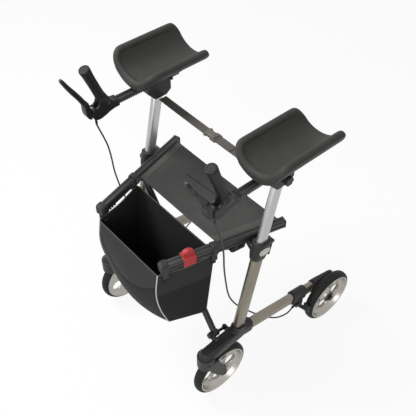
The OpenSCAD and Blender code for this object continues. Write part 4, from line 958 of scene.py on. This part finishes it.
def lever_ring(t):
    """The blade's section: 15 mm wide at the root and 19 mm further up, and up to 15.5 mm deep."""
    at = lever_point(t)
    ahead = (lever_point(min(1, t + 0.01)) - lever_point(max(0, t - 0.01))).normalized()
    front = Vector((-ahead.y, ahead.x))
    taper = sqrt(max(TIP_LEAST, 1 - max(0, (t - TIP_FROM) / TIP_LEN) ** 2))
    wide = (15 + 4 * ease(t / 0.5)) / 2 * (0.3 + 0.7 * taper)
    deep = (13 + 2.5 * ease(t / 0.35) - 3.5 * ease((t - 0.6) / 0.4)) / 2 * (0.4 + 0.6 * taper)
    ring = []
    for k in range(LEVER_SIDES):
        a = 2 * pi * (k + 0.5) / LEVER_SIDES
        across = wide * cos(a) * abs(cos(a)) ** LEVER_SQUARE
        through = deep * sin(a) * abs(sin(a)) ** LEVER_SQUARE
        ring.append(mm(SIDE_X + across, at.x + front.x * through, at.y + front.y * through))
    return ring


blade = pulled("blade", [lever_ring(k / LEVER_STEPS) for k in range(LEVER_STEPS + 1)])
along = lever_point(DENT_ENDS[1]) - lever_point(DENT_ENDS[0])
lean = Matrix.Rotation(atan(-along.x / along.y), 4, "X")
for sign in (1, -1):
    clear()
    bpy.ops.mesh.primitive_uv_sphere_add(segments=24, ring_count=16, radius=1)
    cut(blade, put(started("dent"), moved(SIDE_X + sign * DENT_X, *lever_point(DENT_T)) @ lean
                   @ Matrix.Diagonal((*[c * MM for c in DENT_HALF], 1))))
ROOT = ((-295, 892), (-296, 876), (-295.5, 862), (-294, 851), (-291, 843), (-286, 837), (-279.5, 834),
        (-277.8, 842), (-277.6, 864), (-279.5, 874), (-282, 884), (-284, 894))
ROOT_HALF = 12
root = slab("root", ROOT, -ROOT_HALF, ROOT_HALF)
lever = rounded(fused(join(blade, root), voxel_mm=0.9), rounds=6)
pair(skin_with(lever, housing_nylon), "brake_lever_dressed", "brake_lever", "black_plastic", "brake_lever")
print("brake levers dressed")


# %% [markdown]
# The seat is a sheet of coated cloth stretched between the two bars, with a pale tape along each bar, folded
# hems at front and rear, and one sewn slit. It is a grid that sags a few millimetres between the bars. The
# tapes lie on the same surface, a thread's thickness higher.

# %% Seat
BAR_FRONT, BAR_REAR = (142, -355), (239, 9)
BAR_SLOPE = (BAR_REAR[0] - BAR_FRONT[0]) / (BAR_REAR[1] - BAR_FRONT[1])
SEAT_FRONT, SEAT_REAR, SEAT_TOP, SEAT_SAG = -185.5, 3.5, 605.4, 4.0
SEAT_INSET, SEAT_RIPPLE = 12.9, 0.35


def bar_x(y):
    return BAR_FRONT[0] + (y - BAR_FRONT[1]) * BAR_SLOPE


def seat_at(x, y, lift=0.0):
    half = bar_x(y) - SEAT_INSET
    along = 2 * (y - SEAT_FRONT) / (SEAT_REAR - SEAT_FRONT) - 1
    sag = SEAT_SAG * (1 - (x / half) ** 2) * (1 - 0.35 * along ** 2)
    ripple = SEAT_RIPPLE * sin(x / 19) * sin(y / 13) * (x / half) ** 2
    return mm(x, y, SEAT_TOP - sag + ripple + lift)


def cloth(made, thick_mm, offset, material):
    apply(made, "SOLIDIFY", thickness=thick_mm * MM, offset=offset)
    return smooth(skin_with(made, material), 40)


def seat_strip(name, corners, lift, across, along, material, thick=1.0):
    """A strip of cloth on the seat between two edges, each a pair of (x, y) ends."""
    (a, b), (c, d) = corners

    def place(u, v):
        s, t = (u + 1) / 2, (v + 1) / 2
        x, y = ((a[n] + (b[n] - a[n]) * t) * (1 - s) + (c[n] + (d[n] - c[n]) * t) * s for n in (0, 1))
        return seat_at(x, y, lift)

    return cloth(laid(name, across, along, place), thick, -1, material)


def seat_edge(y, inwards=0.0):
    return bar_x(y) - SEAT_INSET - inwards


def seat_corner(side, y, inwards=0.0):
    return side * seat_edge(y, inwards), y


HEM_W, HEM_PROUD, HEM_LIFT = 14, 0.4, 0.7
TAPE_W, TAPE_LIFT = 24, 1.2
SLIT, SLIT_LIFT = (((-90, -70), (40, -60)), ((-90, -72.4), (40, -62.4))), 0.3
ENDS = (SEAT_FRONT, SEAT_REAR)
whole = [[seat_corner(side, y) for y in ENDS] for side in (-1, 1)]
seat = seat_strip("seat_sheet", whole, 0, 72, 48, seat_weave, 1.6)
seat_trim = []
for name, y0, y1 in (("front_hem", SEAT_FRONT - HEM_PROUD, SEAT_FRONT + HEM_W),
                     ("rear_hem", SEAT_REAR + HEM_PROUD, SEAT_REAR - HEM_W)):
    hem = [[seat_corner(side, y) for side in (-1, 1)] for y in (y0, y1)]
    seat_trim.append(seat_strip("seat_" + name, hem, HEM_LIFT, 3, 72, seat_weave))
for name, side in (("left_tape", 1), ("right_tape", -1)):
    tape = [[seat_corner(side, y, inwards) for y in ENDS] for inwards in (0, TAPE_W)]
    seat_trim.append(seat_strip("seat_" + name, tape, TAPE_LIFT, 6, 40, hem_tape))
seat_trim.append(seat_strip("seat_slit", SLIT, SLIT_LIFT, 2, 30, lining, 0.6))
SEAT_ANCHOR = mm(bar_x(-90), -90, 600)
SEAT_KEEP = 0.5
for piece in [seat] + seat_trim:
    settle(piece, "left_seat_bar", "seat_cloth", *(["seat"] if piece is seat else []))
    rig.squash(piece, "fold", axis=(1, 0, 0), anchor=SEAT_ANCHOR, keep=SEAT_KEEP)
seat_area = (seat_edge(SEAT_FRONT) + seat_edge(SEAT_REAR)) * (SEAT_REAR - SEAT_FRONT) * MM * MM
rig.sheet(seat, flat=(2 * seat_edge(SEAT_REAR) * MM, (SEAT_REAR - SEAT_FRONT) * MM), held="stretched",
         area=seat_area, rests_on=["left_seat_bar", "right_seat_bar"], with_pieces=seat_trim)
print("seat cloth:", round(seat_area, 4), "square metres")


# %% [markdown]
# The bag hangs from hooks on the bars. It is sewn from a front panel that bulges, two sides and a back, with a
# paler yoke round the top, and its foot is rounded. It is drawn as rings from the foot up, each ring following
# the sides, and then gets its thickness and a dark lining.

# %% Bag shell
BAG_TOP, BAG_FOOT, BAG_ROUND = 569, 303, 30
FRONT_CORNER = ((570, -365), (535, -373), (501, -377), (456, -374.5), (400, -363), (350, -347), (303, -332))
BAG_FRONT_HALF, BAG_REAR_HALF = 137, 180.5
REAR_TOP_Y, REAR_FOOT_Y = -194, -225
FRONT_BULGE, SIDE_BULGE, REAR_BULGE = 29, 4, 3
BULGE_FULL, FOOT_TUCK, REAR_TAPER = 0.8, 0.8, 2
TOP_SCOOP, SCOOP_FROM = 9, 500
BLUR = (-24, -16, -8, 0, 8, 16, 24)
ROUND_STEPS, WALL_STEPS = 7, 40
FRONT_STEPS, SIDE_STEPS, REAR_STEPS = 44, 30, 36
RING_COUNT = FRONT_STEPS + 2 * SIDE_STEPS + REAR_STEPS


def front_corner(z):
    for (z0, y0), (z1, y1) in zip(FRONT_CORNER, FRONT_CORNER[1:]):
        if z >= z1:
            return y0 + (y1 - y0) * limited((z0 - z) / (z0 - z1))
    return FRONT_CORNER[-1][1]


def bag_ring(z):
    """Points round the bag at one height: front, left side, back, right side."""
    depth = (BAG_TOP - z) / (BAG_TOP - BAG_FOOT)
    low = limited((BAG_FOOT + BAG_ROUND - z) / BAG_ROUND)
    inset = BAG_ROUND * (1 - sqrt(1 - low * low)) * FOOT_TUCK
    front = sum(front_corner(z + d) for d in BLUR) / len(BLUR) + inset
    rear = REAR_TOP_Y + (REAR_FOOT_Y - REAR_TOP_Y) * depth - inset
    wide, back = BAG_FRONT_HALF - inset, BAG_REAR_HALF - REAR_TAPER * depth - inset
    swell = max(0.0, sin(pi * min(1, depth * 0.85 + 0.1)))
    bulge = FRONT_BULGE * ease(depth / BULGE_FULL)
    side = []
    for k in range(SIDE_STEPS + 1):
        t = k / SIDE_STEPS
        out = SIDE_BULGE * swell * sin(pi * t)
        side.append((wide + (back - wide) * t + out, front + (rear - front) * t, z))
    points = []
    for k in range(FRONT_STEPS):
        u = -1 + 2 * k / FRONT_STEPS
        points.append((u * wide, front - bulge * (1 - u * u), z))
    points += side[:-1]
    for k in range(REAR_STEPS):
        u = 1 - 2 * k / REAR_STEPS
        points.append((u * back, rear - REAR_BULGE * swell * (1 - u * u), z))
    points += [(-x, y, z) for x, y, z in side[:0:-1]]
    return [tuple(sum(points[(i + d) % RING_COUNT][n] * w for d, w in ((-1, 0.25), (0, 0.5), (1, 0.25)))
                  for n in range(3)) for i in range(RING_COUNT)]


def scooped(points, share):
    """The side walls' top edges hang lower between their hooks."""
    front, rear = min(p[1] for p in points), max(p[1] for p in points)
    made = []
    for x, y, z in points:
        t = (y - front) / (rear - front)
        at_side = ease((abs(x) / (BAG_FRONT_HALF + (BAG_REAR_HALF - BAG_FRONT_HALF) * t) - 0.8) / 0.15)
        made.append(mm(x, y, z - share * TOP_SCOOP * at_side * sin(pi * limited(t)) ** 2))
    return made


levels = [BAG_FOOT + BAG_ROUND * (1 - cos(pi / 2 * k / ROUND_STEPS)) for k in range(ROUND_STEPS + 1)]
wall = BAG_TOP - BAG_FOOT - BAG_ROUND
levels += [BAG_FOOT + BAG_ROUND + wall * k / WALL_STEPS for k in range(1, WALL_STEPS + 1)]
foot = bag_ring(BAG_FOOT)
middle = sum(p[1] for p in foot) / len(foot)
rings = [[mm(x * s, middle + (y - middle) * s, z) for x, y, z in foot] for s in (0.05, 0.3, 0.6, 0.85)]
rings += [scooped(bag_ring(z), max(0, (z - SCOOP_FROM) / (BAG_TOP - SCOOP_FROM))) for z in levels]
bag = pulled("bag_shell", rings, top_open=True)
skin_with(bag, bag_weave, yoke_weave, lining, lining)
SEAM_Z, ARC_EDGE_Z, ARC_MID_Z, FACING, BAG_T = 481, 524, 448, 0.6, 2.4


def arc_z(x):
    return ARC_MID_Z + (ARC_EDGE_Z - ARC_MID_Z) * (x / BAG_FRONT_HALF) ** 2


for face in bag.data.polygons:
    x, y, z = face.center / MM
    on_front, on_side = face.normal.y < -FACING, abs(face.normal.x) > FACING
    face.material_index = int(on_front and z > arc_z(x) or on_side and z > SEAM_Z)
apply(bag, "SOLIDIFY", thickness=BAG_T * MM, offset=-1, material_offset=2, use_even_offset=True)
smooth(bag, 50)
print("bag:", len(bag.data.polygons), "faces")


# %% [markdown]
# Cords along the seams give the piping, two of them reflective, and one more binds the top edge. Four flat
# hangers of the bag's own cloth lead up from its corners and over the bars.

# %% Bag piping, seams and hangers
YOKE_Z, PIPING_R, SEAM_R = 470, 1.9, 0.9
trim = []


def on_wall(z, index, out):
    ring = bag_ring(z)
    a, b = Vector(ring[index - 1]), Vector(ring[(index + 1) % RING_COUNT])
    outwards = Vector((b.y - a.y, a.x - b.x, 0)).normalized()
    return (Vector(ring[index]) + outwards * out) * MM


def sewn(name, line, radius_mm, material, cyclic=False):
    trim.append(skin_with(cord(name, line, radius_mm * MM, cyclic), material))


heights = [BAG_TOP - (BAG_TOP - BAG_FOOT - 2) * k / 30 for k in range(31)]
for name, index in (("bag_piping_right", 0), ("bag_piping_left", FRONT_STEPS)):
    sewn(name, [on_wall(z, index, 0.6) for z in heights], PIPING_R, piping_tape)
arc = [on_wall(arc_z(bag_ring(YOKE_Z)[k][0]), k, 0.2) for k in range(1, FRONT_STEPS)]
sewn("bag_yoke_seam", arc, SEAM_R, bag_weave)
for name, first in (("bag_side_seam_left", FRONT_STEPS), ("bag_side_seam_right", RING_COUNT - SIDE_STEPS)):
    for k, z in enumerate((SEAM_Z - 5, SEAM_Z + 4)):
        line = [on_wall(z, (first + i) % RING_COUNT, 0.3) for i in range(1, SIDE_STEPS)]
        sewn(f"{name}_{k}", line, SEAM_R, yoke_weave)
sewn("bag_top_binding", scooped(bag_ring(BAG_TOP), 1), PIPING_R, hem_tape, cyclic=True)

HANGER_W, HANGER_LOW, HANGER_HIGH, HANGER_OUT = 17, 532, 586, 1.5
HANGER_BEND, HANGER_RISE, HANGER_T = 556, 24, 2.2
BAG_TOP_Y = FRONT_CORNER[0][1]
for end, y in (("front", -347), ("rear", -203)):
    for side, sign in zip(SIDES, (1, -1)):
        def place(u, v, y=y, sign=sign):
            z = HANGER_LOW + (HANGER_HIGH - HANGER_LOW) * (v + 1) / 2
            along = y + HANGER_W / 2 * u
            top = ease((z - HANGER_BEND) / HANGER_RISE)
            back = (BAG_REAR_HALF - BAG_FRONT_HALF) * (along - BAG_TOP_Y) / (REAR_TOP_Y - BAG_TOP_Y)
            wall = BAG_FRONT_HALF + back + HANGER_OUT
            return mm(sign * (wall * (1 - top) + (bar_x(along) + 1) * top), along, z)
        hanger = laid(f"bag_hanger_{side}_{end}", 4, 14, place)
        trim.append(cloth(hanger, HANGER_T, 0, bag_weave))
BAG_ANCHOR = mm(bar_x(-280), -280, 560)
BAG_KEEP = 0.35
for piece in [bag] + trim:
    settle(piece, "left_seat_bar", "bag_cloth", *(["bag"] if piece is bag else []))
    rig.squash(piece, "fold", axis=(1, 0, 0), anchor=BAG_ANCHOR, keep=BAG_KEEP)
print("bag trim:", len(trim))


# %% [markdown]
# The backrest strap is pulled taut between the two clamps, in two halves of ribbed webbing that a side-release
# buckle joins. Webbing is flat and keeps its width, so each half is a narrow grid, and the left half has a
# folded hem at the buckle. The buckle starts as a block, and its slots and side notches are cut from it.

# %% Backrest strap
STRAP_Y, STRAP_Z, STRAP_SAG, STRAP_END, STRAP_W = -43.4, 799, 2.5, 229, 27
STRAP_T, FOLD_LEN, FOLD_LIFT = 1.8, 58, 1.9
BUCKLE_X, BUCKLE = -4, (49, 31, 9)


def strap_at(x, across, lift=0.0):
    return mm(x, STRAP_Y + STRAP_W / 2 * across, STRAP_Z - STRAP_SAG * (1 - (x / STRAP_END) ** 2) + lift)


def strap_run(name, x0, x1, lift=0.0):
    made = laid(name, 60, 6, lambda u, v: strap_at(x0 + (x1 - x0) * (u + 1) / 2, v, lift))
    return cloth(made, STRAP_T, 0, webbing)


buckle_left, buckle_right = BUCKLE_X + BUCKLE[0] / 2, BUCKLE_X - BUCKLE[0] / 2
left_strap = strap_run("left_strap_webbing", STRAP_END, buckle_left - 6)
left_fold = strap_run("left_strap_fold", buckle_left + FOLD_LEN, buckle_left - 4, FOLD_LIFT)
right_strap = strap_run("right_strap_webbing", -STRAP_END, buckle_right + 6)
BLOCKS = {"buckle": (0, 0, 0, *BUCKLE), "latch_top": (-4, 0, 4.2, 26, 13, 3),
          "bar_slot": (17.5, 0, 0, 4.5, 24, 30), "near_notch": (-6, -15, 0, 17, 7, 30),
          "far_notch": (-6, 15, 0, 17, 7, 30), "seam": (7.5, 0, 5, 1.8, 40, 4)}
blocks = {}
for name, (dx, dy, dz, *size) in BLOCKS.items():
    blocks[name] = block(name, strap_at(BUCKLE_X, 0) + mm(dx, dy, dz), [c * MM for c in size])
buckle = blocks.pop("buckle")
for name, tool in blocks.items():
    cut(buckle, tool, "UNION" if name == "latch_top" else "DIFFERENCE")
buckle.name = buckle.data.name = "strap_buckle"
rounded(fused(buckle, voxel_mm=0.8), rounds=4)
# The buckle's grey is a painted highlight on black acetal
skin_with(buckle, buckle_highlight_grey)
STRAP_KEEP = 0.53
for piece, side, nodes in ((left_strap, "left", ["left_strap"]), (left_fold, "left", []),
                           (right_strap, "right", ["right_strap"]), (buckle, "right", [])):
    settle(piece, side + "_mast", "strap_webbing", *nodes)
    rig.squash(piece, "fold", axis=(1, 0, 0), keep=STRAP_KEEP,
              anchor=mm(STRAP_END if side == "left" else -STRAP_END, STRAP_Y, STRAP_Z))
print("strap dressed")


# %% [markdown]
# A brake cable leaves the foot of each handle, hangs in a long bow in front of the mast and runs back to the
# brake at the rear wheel. Its handle end rises with the mast and slides with the arm bar, and its brake end
# stays. So it is made as two lengths that meet end to end, and each one bends between two bodies.

# %% Brake cables
ROUTE = ((252, -262.4, 801.3), (252, -258, 785), (252, -246, 745), (252, -236, 705), (252, -230, 655),
         (251, -227, 605), (249, -221, 560), (246, -213, 515), (241, -202, 465), (236, -187, 415),
         (233, -166, 367), (231, -140, 320), (231, -112, 278), (231, -80, 232), (233, -52, 194),
         (238, -22, 160), (246, 4, 138), (254, 28, 127), (261, 52, 127), (264, 66, 132), (264, 80, 140))
SPLIT, CABLE_R = 3, 2.5


def route_point(k, t):
    """A point of the smooth curve that goes through every point of the route."""
    a, b, c, d = (Vector(ROUTE[max(0, min(len(ROUTE) - 1, k + i))]) for i in (-1, 0, 1, 2))
    curve = b * 2 + (c - a) * t + (a * 2 - b * 5 + c * 4 - d) * t ** 2 + (b * 3 - a - c * 3 + d) * t ** 3
    return curve / 2 * MM


def cable_run(name, first, last):
    points = [route_point(k, t / 4) for k in range(first, last) for t in range(4)] + [mm(*ROUTE[last])]
    return skin_with(smooth(cord(name, points, CABLE_R * MM), 60), sheath)


upper = cable_run("left_cable_upper", 0, SPLIT)
lower = cable_run("left_cable_lower", SPLIT, len(ROUTE) - 1)
for side, sign, pieces in (("left", 1, (upper, lower)),
                           ("right", -1, (twin(upper, "right_cable_upper"), twin(lower, "right_cable_lower")))):
    def at(k, sign=sign):
        return mm(sign * ROUTE[k][0], *ROUTE[k][1:])
    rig.blend(pieces[0], f"{side}_mast", f"{side}_reach", start=at(SPLIT), end=at(1))
    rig.blend(pieces[1], f"{side}_frame", f"{side}_mast", start=at(12), end=at(SPLIT + 1))
    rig.replaces(pieces[1], f"{side}_cable")
    for piece in pieces:
        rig.slot(piece, "cable_sheath")
print("cables dressed")


# %% [markdown]
# The dressed walker should stay the size of its frame. Both boxes are kept, so they can be compared.

# %% Sizes and finish
for obj in bpy.data.objects:
    obj.select_set(False)
visual_box = [list(corner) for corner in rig.bounds()]
with open("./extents.json", "w") as kept:
    json.dump({"cad": cad_box, "visual": visual_box}, kept)
print("box of the frame", cad_box, "and of the dressed walker", visual_box)
